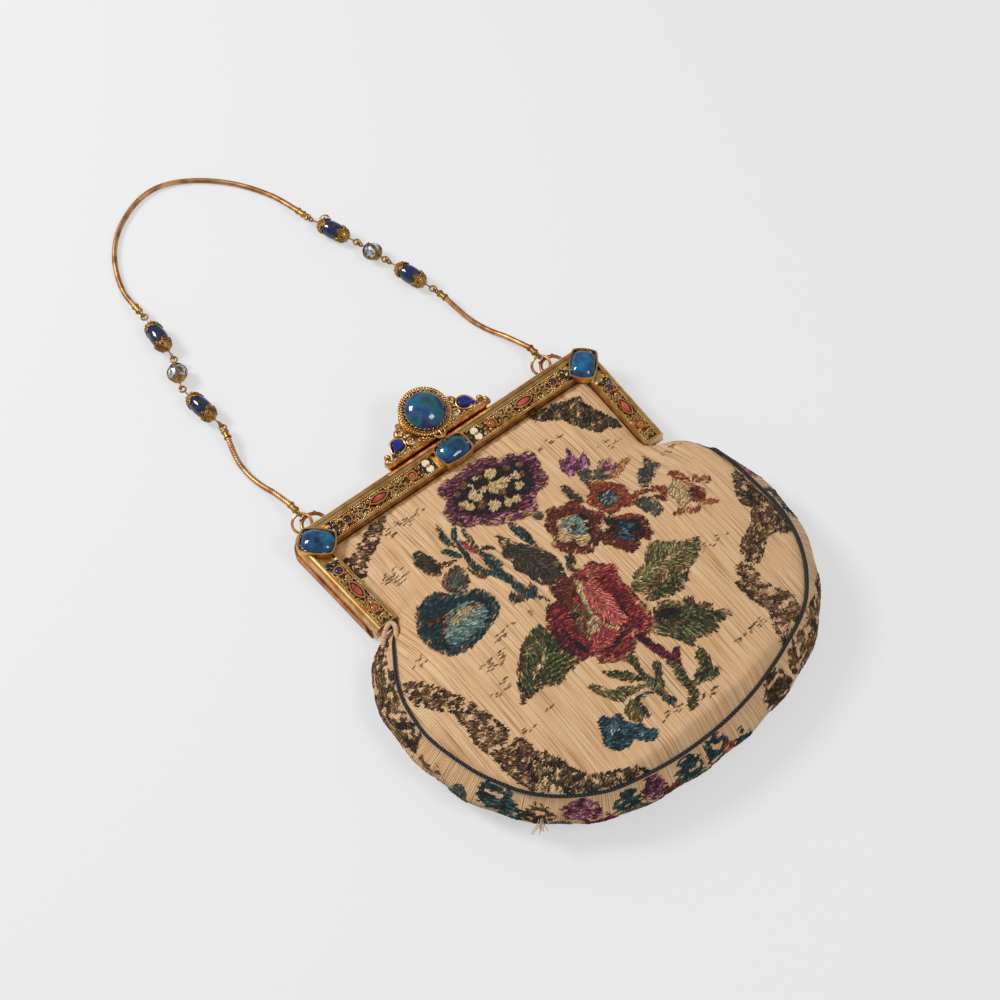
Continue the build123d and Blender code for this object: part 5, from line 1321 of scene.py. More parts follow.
@dataclass
class PurseCloth:
    """The bag: embroidered front, side wall, plain back, lining, edge cords and stitches, sizes in mm."""

    mouth_y: float = 41.7
    left_front: tuple[tuple[float, float], ...] = (
        (-70.5, 41.7), (-69.3, 20.0), (-68.1, 0.0), (-68.3, -3.2), (-70.2, -6.6), (-74.6, -11.0), (-80.8, -20.4),
        (-86.3, -29.2), (-90.2, -38.3), (-91.8, -47.0), (-92.4, -56.4), (-91.0, -65.4), (-88.6, -74.6),
        (-85.6, -83.4), (-78.5, -97.0))
    right_front: tuple[tuple[float, float], ...] = (
        (70.5, 41.7), (69.3, 20.0), (68.1, 0.0), (69.0, -3.6), (74.0, -7.2), (79.6, -10.8), (83.0, -16.0),
        (84.7, -23.0), (85.8, -31.0), (86.4, -42.0), (86.4, -50.0), (86.6, -60.0), (86.1, -68.0), (84.6, -75.5),
        (81.8, -83.5), (77.8, -91.0), (72.8, -97.8))
    low_front: tuple[tuple[float, float], ...] = (
        (-78.5, -97.0), (-72.2, -104.6), (-65.0, -110.8), (-56.4, -116.2), (-47.0, -120.2), (-24.0, -124.6),
        (0.0, -125.2), (20.0, -122.6), (36.5, -118.2), (46.5, -114.6), (57.0, -110.4), (65.4, -105.2),
        (72.8, -97.8))
    left_back: tuple[tuple[float, float], ...] = (
        (-70.5, 41.7), (-69.3, 20.0), (-68.1, 0.0), (-70.0, -3.6), (-77.5, -6.2), (-84.6, -12.4), (-89.4, -20.0),
        (-92.0, -29.0), (-93.2, -38.0), (-93.8, -47.0), (-93.6, -56.0), (-92.0, -67.0), (-88.4, -81.5),
        (-84.2, -89.8), (-78.5, -97.0))
    right_back: tuple[tuple[float, float], ...] = (
        (70.5, 41.7), (69.3, 20.0), (68.1, 0.0), (68.6, -3.4), (72.0, -6.6), (77.8, -11.4), (83.0, -18.0),
        (87.0, -26.0), (90.2, -36.0), (92.0, -46.0), (92.4, -55.0), (90.6, -67.0), (87.0, -79.0), (82.4, -88.0),
        (76.0, -96.2))
    low_back: tuple[tuple[float, float], ...] = (
        (-78.5, -97.0), (-72.2, -104.6), (-65.0, -110.6), (-56.4, -116.2), (-47.0, -120.4), (-24.0, -124.8),
        (0.0, -126.0), (24.0, -124.4), (45.4, -119.6), (55.0, -115.2), (63.4, -109.4), (70.4, -103.0),
        (76.0, -96.2))
    hinge: tuple[float, float] = (70.5, -3.5)
    back_seam: float = 3.6
    back_seam_top: float = 4.6
    wall_width: float = 22.0
    seam_lift: float = 0.4
    bulge: float = 7.6
    crown: float = 7.6
    crown_reach: float = 46.0
    front_cols: int = 300
    front_rows: int = 290
    stitch_gap: tuple[float, float] = (1.05, 0.5)
    stitch_size: tuple[float, float, float] = (2.2, 0.62, 0.46)
    seam: np.ndarray = field(init=False)
    hem: np.ndarray = field(init=False)

    def __post_init__(self) -> None:
        """Work out the two seam lines, from the left hinge round the bottom to the right hinge."""
        lines = []
        for left, low, right in ((self.left_front, self.low_front, self.right_front),
                                 (self.left_back, self.low_back, self.right_back)):
            line = np.vstack([np.array(left)[3:], np.array(low)[1:], np.array(right)[::-1][1:-3]])
            lines.append(resample(rounded(line), SEAM_STEPS))
        self.seam, self.hem = lines

    def seam_height(self, y: np.ndarray) -> np.ndarray:
        """Height of the front seam."""
        return np.interp(y, [-40, -26, -13, -3, 60], [22, 19.6, 14, 9.4, 8.6])

    def hem_height(self, y: np.ndarray) -> np.ndarray:
        """Height of the back seam."""
        return np.interp(y, [-30, -14], [self.back_seam, self.back_seam_top])

    def border(self) -> np.ndarray:
        """Whole edge of the front cloth as one closed line."""
        return np.vstack([np.array(self.left_front)[:3], self.seam[::4], np.array(self.right_front)[2::-1],
                          np.array(self.left_front)[:1]])

    def patch(self, cols: int, rows: int, back: bool = False, shrink: float = 0.0,
              top_y: float = 50.0) -> tuple[bpy.types.Mesh, np.ndarray]:
        """Grid stretched over the plan outline of the front or back cloth.

        Args:
            cols: columns.
            rows: rows.
            back: the back cloth's outline.
            shrink: how far inside the outline.
            top_y: where it starts, where that is lower than the mouth.

        Returns:
            The grid and the plan place of each vertex.
        """
        mesh, u, v = grid(cols, rows)
        shapes = (self.left_back, self.right_back, self.low_back) if back else (
            self.left_front, self.right_front, self.low_front)
        left, right, low = (rounded(np.array(shape)) for shape in shapes)
        flat = np.full(EDGE_STEPS, shrink)
        left, right = (resample(line[line[:, 1] < top_y], EDGE_STEPS) + np.column_stack(
            [sign * flat, np.linspace(0, shrink, EDGE_STEPS)]) for line, sign in ((left, 1), (right, -1)))
        low = resample(low, EDGE_STEPS) + np.column_stack([np.linspace(shrink, -shrink, EDGE_STEPS), flat])
        place = np.linspace(0, 1, EDGE_STEPS)
        west, east, under = follow(left, place, v), follow(right, place, v), follow(low, place, u)
        u, v = u[:, None], v[:, None]
        foot = (1 - u) * left[-1] + u * right[-1]
        return mesh, v * under + (1 - u) * west + u * east - v * foot

    def front_height(self, points: np.ndarray) -> np.ndarray:
        """Height of the front cloth: a stuffed belly that flattens towards the frame's mouth.

        Args:
            points: plan places in millimetres.

        Returns:
            Heights in millimetres.
        """
        x, y = points.T
        base = self.seam_height(y) + self.seam_lift
        gap, along = edge_distance(points, self.border())
        body = base + self.crown * (1 - (1 - np.minimum(gap, self.crown_reach) / self.crown_reach) ** 2)
        rows = [-62, -25, 0, 20, 42]
        half = np.interp(y, rows, [59.05, 66.05, 68.05, 69.3, 70.5])
        side = np.interp(y, rows, [23, 17, 11.4, 10.2, 9.2])
        crown = np.interp(y, rows, [28.6, 23, 14.8, 12, 9.8])
        mouth = side + (crown - side) * np.maximum(1 - (x / half) ** 2, 0)
        z = soft_max(body, mouth)
        z = -soft_max(-z, -(base + 1.1 * gap))
        # Gathers along the seam, folds below the mouth, a fan of creases at each hinge, then slack
        near = np.exp(-gap / 3.2) * (1 - np.exp(-gap / 0.7))
        wave = np.sin(2 * math.pi * (along / 6.3 + grainy(points, 19, 21)))
        z += 0.30 * near * wave
        drop = np.clip(self.mouth_y - y, 0, 60)
        folds = np.sin(2 * math.pi * (x / 8.7 + 0.8 * grainy(points * np.array([1, 0.2]), 17, 22)))
        z += 0.24 * folds * np.exp(-drop / 9) * (1 - np.exp(-drop / 1.5))
        for sign in (-1, 1):
            dx, dy = x - sign * self.hinge[0], y - self.hinge[1]
            far = np.hypot(dx, dy)
            angle = np.arctan2(dy, -sign * dx)
            fan = np.cos(angle * 6.5 + (0.6 if sign > 0 else 2.1) + far / 16)
            depth = 0.85 if sign < 0 else 0.55
            z += depth * fan * np.exp(-far / 17) * (1 - np.exp(-far / 5))
        return z + 0.9 * (grainy(points, 27, 5) - 0.5) * np.minimum(gap / 14, 1)

    def front(self) -> bpy.types.Object:
        """Front cloth with the woven colours in it."""
        mesh, plan = self.patch(self.front_cols, self.front_rows)
        rng = np.random.default_rng(11)
        height = self.front_height(plan)
        slip = plan + rng.normal(0, 0.15, plan.shape)
        colour, cover, _ = paint(slip, rng.random(len(plan)), rng.random(len(plan)))
        # The woven colour is halved on the cloth: painted shade in the gaps between the stitches that lie on it
        lay(mesh, np.column_stack([plan, height]), plan, colour * 0.5, np.where(cover > 0.9, cover, 0.0))
        made = piece("front_cloth", mesh, SILK, None)
        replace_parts(made, "front_panel")
        return made

    def front_inside(self) -> bpy.types.Object:
        """Plain silk behind the front cloth, seen in the mouth when the frame is open."""
        mesh, plan = self.patch(60, 58, False, 0.5)
        lay(mesh, np.column_stack([plan, self.front_height(plan) - 0.5]), plan)
        mesh.flip_normals()
        return piece("front_lining", mesh, LINING_SILK, None)

    def wall(self, s: np.ndarray, t: np.ndarray, out: float = 0.0) -> np.ndarray:
        """Places on the side wall.

        Args:
            s: distance along the seam in mm.
            t: share across, 0 at the front seam and 1 at the back one.
            out: distance outwards from it.

        Returns:
            Places in millimetres.
        """
        place = np.clip(s / self.seam_length(), 0, 1) * (len(self.seam) - 1)
        index = np.arange(len(self.seam))
        front, back = (follow(line, index, place) for line in (self.seam, self.hem))
        ahead = unit(follow(np.gradient((self.seam + self.hem) / 2, axis=0), index, place))
        normal = np.column_stack([ahead[:, 1], -ahead[:, 0]])
        # The wall swells most below the middle; the photo shows it fuller at the left than at the right
        y = front[:, 1]
        high = self.seam_height(y) + 0.3
        low = self.hem_height(y)
        left = front[:, 0] < 0
        share = np.where(left, np.interp(y, [-44, -20, -9, -5], [1, 0.98, 0.62, 0.2]),
                         np.interp(y, [-50, -27, -15, -6], [1, 0.72, 0.35, 0.05]))
        share = share * np.interp(front[:, 0], [40, 76], [1, 0.86])
        swell = self.bulge * share * np.sin(math.pi * np.clip(1 - t, 0, 1) ** 0.8) * (high - low) / 18.4
        by_seams = np.exp(-t / 0.16) + np.exp((t - 1) / 0.16)
        pucker = 0.32 * np.sin(2 * math.pi * s / 5.7 + 3 * np.sin(s / 31)) * by_seams
        fold = 0.5 * np.sin(2 * math.pi * s / 23 + 5 * t) * np.sin(math.pi * t) * share
        push = swell + (pucker + fold) * np.minimum(1, 4 * t * (1 - t) + 0.1) + out
        plan = front * (1 - t[:, None]) + back * t[:, None] + normal * push[:, None]
        return np.column_stack([plan, high * (1 - t) + low * t])

    def seam_length(self) -> float:
        """Length of the side wall along the seam."""
        return float(np.linalg.norm(np.diff(self.seam, axis=0), axis=1).sum())

    def wall_paint(self, s: np.ndarray, t: np.ndarray, speck: np.ndarray) -> tuple[np.ndarray, np.ndarray]:
        """Woven colour on the side wall.

        Args:
            s: distance along the seam.
            t: share across.
            speck: random 0 to 1.

        Returns:
            Colour and cover.
        """
        flat = np.column_stack([s, t * self.wall_width])
        blotch = grainy(flat, 2.2, 31)
        ragged = grainy(flat * np.array([0.7, 1.0]), 1.4, 32)
        colour = np.tile(linear(BARE_SILK)[:3], (len(s), 1))
        cover = np.zeros(len(s))
        for item in GUSSET_PATCHES:
            _, at = edge_distance(np.array([item.near], float), self.seam)
            size = np.hypot((s - at[0]) / (item.length / 2), (t - item.across) / (item.width / 2))
            near = (size < 0.75 + 0.5 * ragged) & (ragged < 0.25 + 0.62 * item.cover)
            colour[near] = pick(item.yarn, blotch[near], speck[near])
            cover[near] = 1.0
        return colour, cover

    def side(self) -> bpy.types.Object:
        """Side wall between the two seams."""
        mesh, u, v = grid(620, 34)
        rng = np.random.default_rng(12)
        s = u * self.seam_length()
        colour, cover = self.wall_paint(s + rng.normal(0, 0.2, len(s)), v, rng.random(len(s)))
        # The woven colour is halved on the cloth: painted shade in the gaps between the stitches that lie on it
        lay(mesh, self.wall(s, v), np.column_stack([s, v * self.wall_width]), colour * 0.5, cover)
        self.face_outwards(mesh)
        made = piece("side_cloth", mesh, SILK, BACK)
        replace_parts(made, "gusset")
        return made

    @staticmethod
    def face_outwards(mesh: bpy.types.Mesh) -> None:
        """Turn a sheet's faces away from the bag's middle."""
        middle = Vector((0, -60, 13)) * MM
        votes = sum((face.center - middle).dot(face.normal) > 0 for face in mesh.polygons)
        if votes < len(mesh.polygons) / 2:
            mesh.flip_normals()

    def back(self) -> bpy.types.Object:
        """Plain back cloth, flat where it rests."""
        mesh, plan = self.patch(120, 116, True, 0.5)
        edge_line = np.vstack([np.array(self.left_back)[:3], self.hem[::4], np.array(self.right_back)[2::-1]])
        gap, _ = edge_distance(plan, edge_line)
        height = self.hem_height(plan[:, 1]) * (1 - np.minimum(gap / 9, 1)) ** 1.4 + 0.15
        lay(mesh, np.column_stack([plan, height]), plan)
        self.face_outwards(mesh)
        made = piece("back_cloth", mesh, SILK, BACK)
        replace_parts(made, "back_panel")
        return made

    def lining(self) -> bpy.types.Object:
        """Silk lining of front, back and side, a few millimetres inside the cloth."""
        sheets = []
        mesh, plan = self.patch(110, 90, False, 2.6, -9.4)
        sheets.append(lay(mesh, np.column_stack([plan, self.front_height(plan) - 2.6]), plan))
        mesh, plan = self.patch(60, 50, True, 2.8, -9.4)
        sheets.append(lay(mesh, np.column_stack([plan, np.full(len(plan), 2.9)]), plan))
        mesh, u, v = grid(300, 14)
        s = u * self.seam_length()
        sheets.append(lay(mesh, self.wall(s, 0.08 + 0.84 * v, -2.8), np.column_stack([s, v * 20])))
        made = piece("lining_cloth", join(sheets), LINING_SILK, BACK)
        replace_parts(made, "lining")
        return made

    def cords(self) -> None:
        """Satin cords over both seams, the front one with a tail to the left hinge, and the welt beside it."""
        rows = (("front_cord", "piping_front", self.seam, 0.9, [(-69.4, -3.6, 12.0), (-72.6, -8.6, 13.2)]),
                ("back_cord", "piping_back", self.hem, 0.6, []))
        for name, node, seam, off, tail in rows:
            line = resample(seam, 90)[3:-7 if name == "front_cord" else -6]
            ahead = unit(np.gradient(line, axis=0))
            out = line + np.column_stack([ahead[:, 1], -ahead[:, 0]]) * off
            height = self.seam_height(out[:, 1]) + 0.7 if name == "front_cord" else self.hem_height(out[:, 1])
            route = [mm(*p) for p in tail] + [mm(x, y, z) for (x, y), z in zip(out, height)]
            route.append(route[-1] + mm(-1.8, 2.6, -4.6 if name == "front_cord" else -1.0))
            twist = tube(line_points(route), 0.72 * MM, 10, 0.6 * MM,
                         lambda s, a: 1 + 0.03 * np.cos(2 * math.pi * s / (1.9 * MM) - 2 * a))
            cord = piece(name, twist, PIPING, BACK)
            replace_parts(cord, node)
        loop = line_points([mm(*p) for p in (
            (-80.6, -10.6, 9.6), (-78.2, -7.4, 11.6), (-74.6, -4.6, 13.2), (-71.6, -4.4, 14.0), (-71.4, -7.6, 14.0),
            (-75.4, -12.0, 13.4), (-81.2, -16.6, 13.0))])
        piece("hinge_welt", tube(loop, 1.05 * MM, 12, 0.4 * MM), SILK, BACK)

    def grains(self, name: str, places: np.ndarray, normals: np.ndarray, ahead: np.ndarray, colours: np.ndarray,
               body: str | None, seed: int) -> bpy.types.Object:
        """One small spindle for each float of yarn, as one mesh.

        Args:
            name: the piece's name.
            places: where each lies, in millimetres.
            normals: the cloth's normal there.
            ahead: the float's direction.
            colours: its colour.
            body: the body it rides on, or None.
            seed: random seed.

        Returns:
            The object.
        """
        rng = np.random.default_rng(seed)
        bm = bmesh.new()
        bmesh.ops.create_uvsphere(bm, u_segments=4, v_segments=2, radius=0.5)
        spindle = from_bmesh(bm)
        shape = corners(spindle)[:, [2, 0, 1]]
        faces = np.array([list(face.vertices) for face in spindle.polygons])
        bpy.data.meshes.remove(spindle)
        count = len(places)
        scale = np.array(self.stitch_size) * (0.75 + 0.5 * rng.random((count, 1)))
        ahead = unit(ahead - normals * (ahead * normals).sum(1)[:, None])
        side = np.cross(normals, ahead)
        local = shape[None] * scale[:, None]
        out = places[:, None] + local[:, :, :1] * ahead[:, None] + local[:, :, 1:2] * side[:, None] + (
            local[:, :, 2:] + 0.1) * normals[:, None]
        size = len(shape)
        lists = (faces[None] + np.arange(count)[:, None, None] * size).reshape(-1, faces.shape[1])
        mesh = bpy.data.meshes.new(name)
        mesh.from_pydata((out * MM).reshape(-1, 3), [], lists.tolist())
        store = mesh.attributes.new("yarn", "FLOAT_COLOR", "POINT")
        tint = np.repeat(colours * (0.85 + 0.5 * rng.random((count, 1))), size, 0)
        store.data.foreach_set("color", np.hstack([tint, np.ones((len(tint), 1))]).ravel())
        return piece(name, mesh, YARN, body)

    def front_stitches(self) -> bpy.types.Object:
        """Yarn floats on the front cloth."""
        rng = np.random.default_rng(13)
        xs = np.arange(-94, 94, self.stitch_gap[0])
        ys = np.arange(-127, self.mouth_y, self.stitch_gap[1])
        plan = np.stack(np.meshgrid(xs, ys), -1)
        plan[1::2, :, 0] += self.stitch_gap[0] / 2
        plan = plan.reshape(-1, 2)
        plan += rng.normal(0, 0.16, plan.shape)
        inside, gap = inside_and_edge(plan, self.border())
        plan = plan[inside & (gap > 0.9)]
        colour, cover, lean = paint(plan, rng.random(len(plan)), rng.random(len(plan)))
        keep = (cover > 0.5) & (rng.random(len(plan)) < 0.95)
        plan, colour = plan[keep], colour[keep]
        turn = np.radians(lean[keep] + rng.normal(0, 8, keep.sum()))
        z = self.front_height(plan)
        step = 0.5
        gx = self.front_height(plan + [step, 0]) - z
        gy = self.front_height(plan + [0, step]) - z
        normal = unit(np.column_stack([-gx / step, -gy / step, np.ones(len(z))]))
        ahead = np.column_stack([np.cos(turn), np.sin(turn), np.zeros(len(z))])
        return self.grains("front_yarn", np.column_stack([plan, z]), normal, ahead, colour, None, 14)

    def side_stitches(self) -> bpy.types.Object:
        """Yarn floats on the side wall."""
        rng = np.random.default_rng(15)
        length = self.seam_length()
        s, t = np.meshgrid(np.arange(0, length, 1.2), np.arange(0.06, 0.9, 0.032))
        s, t = (s + rng.normal(0, 0.2, s.shape)).ravel(), (t + rng.normal(0, 0.01, t.shape)).ravel()
        colour, cover = self.wall_paint(s, t, rng.random(len(s)))
        keep = cover > 0.5
        s, t, colour = s[keep], t[keep], colour[keep]
        here = self.wall(s, t)
        forward = self.wall(s + 0.5, t) - here
        down = self.wall(s, t + 0.02) - here
        normal = unit(np.cross(down, forward))
        normal *= np.sign((normal * (here - [0, -60, 12])).sum(1))[:, None]
        ahead = unit(forward) + rng.normal(0, 0.35, len(s))[:, None] * unit(down)
        return self.grains("side_yarn", here, normal, ahead, colour, BACK, 16)

    def tuft(self) -> bpy.types.Object:
        """Loose threads that stand out of the side wall at the lower left."""
        rng = np.random.default_rng(17)
        paths = []
        for _ in range(16):
            start = np.array([-77.5, -109.5, 14.0]) + rng.normal(0, 0.8, 3)
            aim = np.array([-0.8, -0.75, 0.3]) + rng.normal(0, 0.35, 3)
            aim /= np.linalg.norm(aim)
            length = 3.0 + 3.5 * rng.random()
            paths.append([Vector(start + aim * length * k / 5 + np.array([0, 0, -0.06 * k * k])) * MM
                          for k in range(6)])
        return piece("thread_tuft", wires(paths, 0.13 * MM, 0), LINING_SILK, BACK)

    def build(self) -> None:
        """Make every piece of the bag."""
        bending = [self.front(), self.front_stitches(), self.front_inside()]
        self.side()
        self.side_stitches()
        self.back()
        self.lining()
        self.cords()
        self.tuft()
        for made in bending:
            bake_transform(made)


# ---------------------------------------------------------------- frame and crest
def pillow(place: tuple[float, float, float], size: tuple[float, float, float], turn: float) -> bpy.types.Mesh:
    """Cushion-cut dome: a ball whose plan outline is a rounded rectangle.

    Args:
        place: its middle in mm.
        size: length, width and rise in mm.
        turn: degrees about the upright axis.

    Returns:
        The mesh.
    """
    power = 3.0
    below = 0.3
    bm = bmesh.new()
    bmesh.ops.create_uvsphere(bm, u_segments=48, v_segments=28, radius=1.0)
    for vert in bm.verts:
        x, y, z = vert.co
        around = math.atan2(y, x)
        reach = math.hypot(x, y) / (abs(math.cos(around)) ** power + abs(math.sin(around)) ** power) ** (1 / power)
        vert.co = mm(reach * math.cos(around) * size[0] / 2, reach * math.sin(around) * size[1] / 2,
                     z * (size[2] if z > 0 else below))
    bmesh.ops.transform(bm, matrix=Matrix.Translation(mm(*place)) @ Matrix.Rotation(math.radians(turn), 4, "Z"),
                        verts=bm.verts)
    return from_bmesh(bm)


@dataclass
class FrameTrim:
    """Fine wirework and enamel laid on the frame's front, sizes in mm."""

    dome: tuple[float, float, float] = (14.9, 11.3, 3.9)
    strip_low: float = 43.35
    strip_high: float = 50.55
    strip_middle: float = 46.95
    bar_in: float = 10.2
    bar_out: float = 63.2
    leg_low: float = -2.3
    leg_high: float = 33.2
    wire_z: float = 12.55
    edge_z: float = 12.75
    wire: float = 0.3
    edge_wire: float = 0.27

    def round_stones(self) -> tuple[tuple[float, float], ...]:
        """Places of the four round stones on the right side's strips."""
        return (56.7, self.strip_middle), (22.0, self.strip_middle), (self.leg_x(28.8), 28.8), (self.leg_x(5.6), 5.6)

    def leg_x(self, y: float) -> float:
        """Middle of a leg's strip."""
        return 72.7 + 0.0584 * y

    def dress(self) -> None:
        """Give the frame's own nodes their finishes, and set the three large stones."""
        for node in ("front_frame", "hinge_pin_left", "hinge_pin_right", "ring_left", "ring_right"):
            dress(node, GILT)
        dress("back_frame", GILT_BACK)
        for side in ("left", "right"):
            sign = 1 if side == "right" else -1
            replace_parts(piece(f"corner_dome_{side}", pillow((sign * 73.2, 45.4, 13.6), self.dome, 45.0 * sign),
                              BLUE_STONE, FRONT), f"corner_stone_{side}")
            dress(f"enamel_flower_{side}", WHITE_ENAMEL)
            for strip in ("bar", "leg"):
                dress(f"filigree_{strip}_{side}", FILIGREE)
                dress(f"amethyst_{strip}_{side}", AMETHYST)
                dress(f"carnelian_{strip}_{side}", CARNELIAN)
                dress(f"coral_{strip}_{side}", CORAL)
        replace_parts(piece("centre_dome", pillow((0.0, 46.2, 13.6), self.dome, 0.0), BLUE_STONE, FRONT), "centre_stone")

    def ropes(self) -> None:
        """Twisted wire along the edges of the four strips."""
        meshes = []
        for sign in (-1, 1):
            edges = [(self.bar_in, y, self.bar_out, y) for y in (self.strip_low, self.strip_high)]
            edges += [(self.leg_x(self.leg_low) + off, self.leg_low, self.leg_x(self.leg_high) + off, self.leg_high)
                      for off in (-3.05, 3.05)]
            for x0, y0, x1, y1 in edges:
                line = evenly(mm(sign * x0, y0, self.edge_z), mm(sign * x1, y1, self.edge_z), 0.22)
                meshes.append(rope(line, self.edge_wire * MM, 1.7))
        piece("frame_rope_wire", join(meshes), GILT, FRONT)

    def scrolls(self) -> None:
        """Small spirals between the strips' cast scrolls."""
        paths = []
        for sign in (-1, 1):
            for index, x in enumerate(np.arange(17.6, 63, 2.75)):
                near = min(abs(x - place) - room for place, room in ((56.7, 1.4), (39.9, 2.6), (22.0, 1.4)))
                for up in (-1, 1):
                    turn = 1 if (index % 2 == 0) == (up * sign > 0) else -1
                    lift, size = (2.35, 1.3) if near > 0 else (2.75, 0.8)
                    paths.append(spiral(sign * x, self.strip_middle + up * lift, self.wire_z, size, 1.5,
                                        90 * up + 40 * turn, turn))
            for index, y in enumerate(np.arange(-0.8, 33, 2.35)):
                near = min(abs(y - place) - room for place, room in ((28.8, 1.3), (16.8, 2.4), (5.6, 1.3)))
                for off in (-1, 1):
                    turn = 1 if (index % 2 == 0) == (off * sign > 0) else -1
                    lift, size = (1.55, 1.1) if near > 0 else (2.15, 0.7)
                    paths.append(spiral(sign * (self.leg_x(y) + off * lift), y, self.wire_z, size, 1.4,
                                        90 * turn, turn))
        piece("frame_scroll_wire", wires(paths, self.wire * MM, 1), GILT, FRONT)

    def enamel(self) -> None:
        """Amber drops round the small stones, white petals, and black leaves beside the corner stones."""
        amber, white, black = [], [], []

        def drop(group: list, x: float, y: float, z: float, radius: float, turn: float = 0) -> None:
            """Add one drop of enamel to a group, sizes in mm and its turn in degrees."""
            group.append((mm(x, y, z), radius * MM, turn))

        middle = self.strip_middle
        for sign in (-1, 1):
            for x, y in self.round_stones():
                for angle in (45, 135, 225, 315):
                    a = math.radians(angle)
                    drop(amber, sign * x + 2.45 * math.cos(a), y + 2.45 * math.sin(a), self.edge_z, 0.85, angle)
            drop(amber, sign * 13.4, middle, 13.1, 0.95)
            for angle in (0, 180):
                a = math.radians(angle)
                drop(black, sign * 13.4 + 2.7 * math.cos(a), middle + 2.0 * math.sin(a), self.edge_z, 0.8, angle + 60)
            for x, y, turn in ((65.2, 46.6, 75.0), (64.0, 44.4, 30.0), (64.0, 49.0, 140.0), (75.6, 34.0, 20.0),
                               (73.4, 33.0, -30.0), (77.0, 32.0, 60.0)):
                drop(black, sign * x, y, 13.0, 1.15, turn if sign > 0 else 180 - turn)
            for x, off in ((60.8, 0), (52.9, 0.6), (51.4, -0.6), (47.2, 0.7), (45.6, -0.7), (34.4, 0.6), (32.6, -0.6),
                           (27.7, 0.7), (26.2, -0.7), (18.4, 0)):
                drop(amber, sign * x, middle + off, 12.4, 0.6, 35)
            for y in (32.2, 24.2, 22.6, 11.6, 9.6, 1.4):
                drop(amber, sign * self.leg_x(y), y, 12.4, 0.6, 70)
            for x, y in ((64.6, 46.4), (63.6, 49.0), (75.0, 34.2), (71.9, 34.4)):
                drop(white, sign * x, y, 13.0, 0.8)
        piece("amber_enamel", balls(amber, (1.45, 0.8, 0.55)), AMBER_ENAMEL, FRONT)
        piece("black_enamel", balls(black, (1.9, 0.7, 0.6)), BLACK_ENAMEL, FRONT)
        piece("white_enamel_dots", balls(white, (1, 1, 0.6)), WHITE_ENAMEL, FRONT)

    def bezels(self) -> None:
        """Notched collars round the three large stones and plain ones round the small stones."""
        notched = []
        for x, y, turn in ((-73.4, 45.6, -45.0), (73.4, 45.6, 45.0), (0.0, 46.35, 0.0)):
            rounds = [2 * math.pi * i / 96 for i in range(96)]
            notched.append([turned(x, y, 14.25 + 0.16 * math.cos(24 * b), 7.75 * math.cos(b), 5.95 * math.sin(b),
                                   math.radians(turn)) for b in rounds])
        plain = [ring(sign * x, y, 13.1, 1.95, 24) for sign in (-1, 1) for x, y in self.round_stones()]
        mesh = join([wires(notched, 0.34 * MM, 1, True), wires(plain, 0.22 * MM, 1, True)])
        piece("stone_collars", mesh, GILT, FRONT)

    def build(self) -> None:
        """Dress the frame and add its wirework."""
        self.dress()
        self.ropes()
        self.scrolls()
        self.enamel()
        self.bezels()


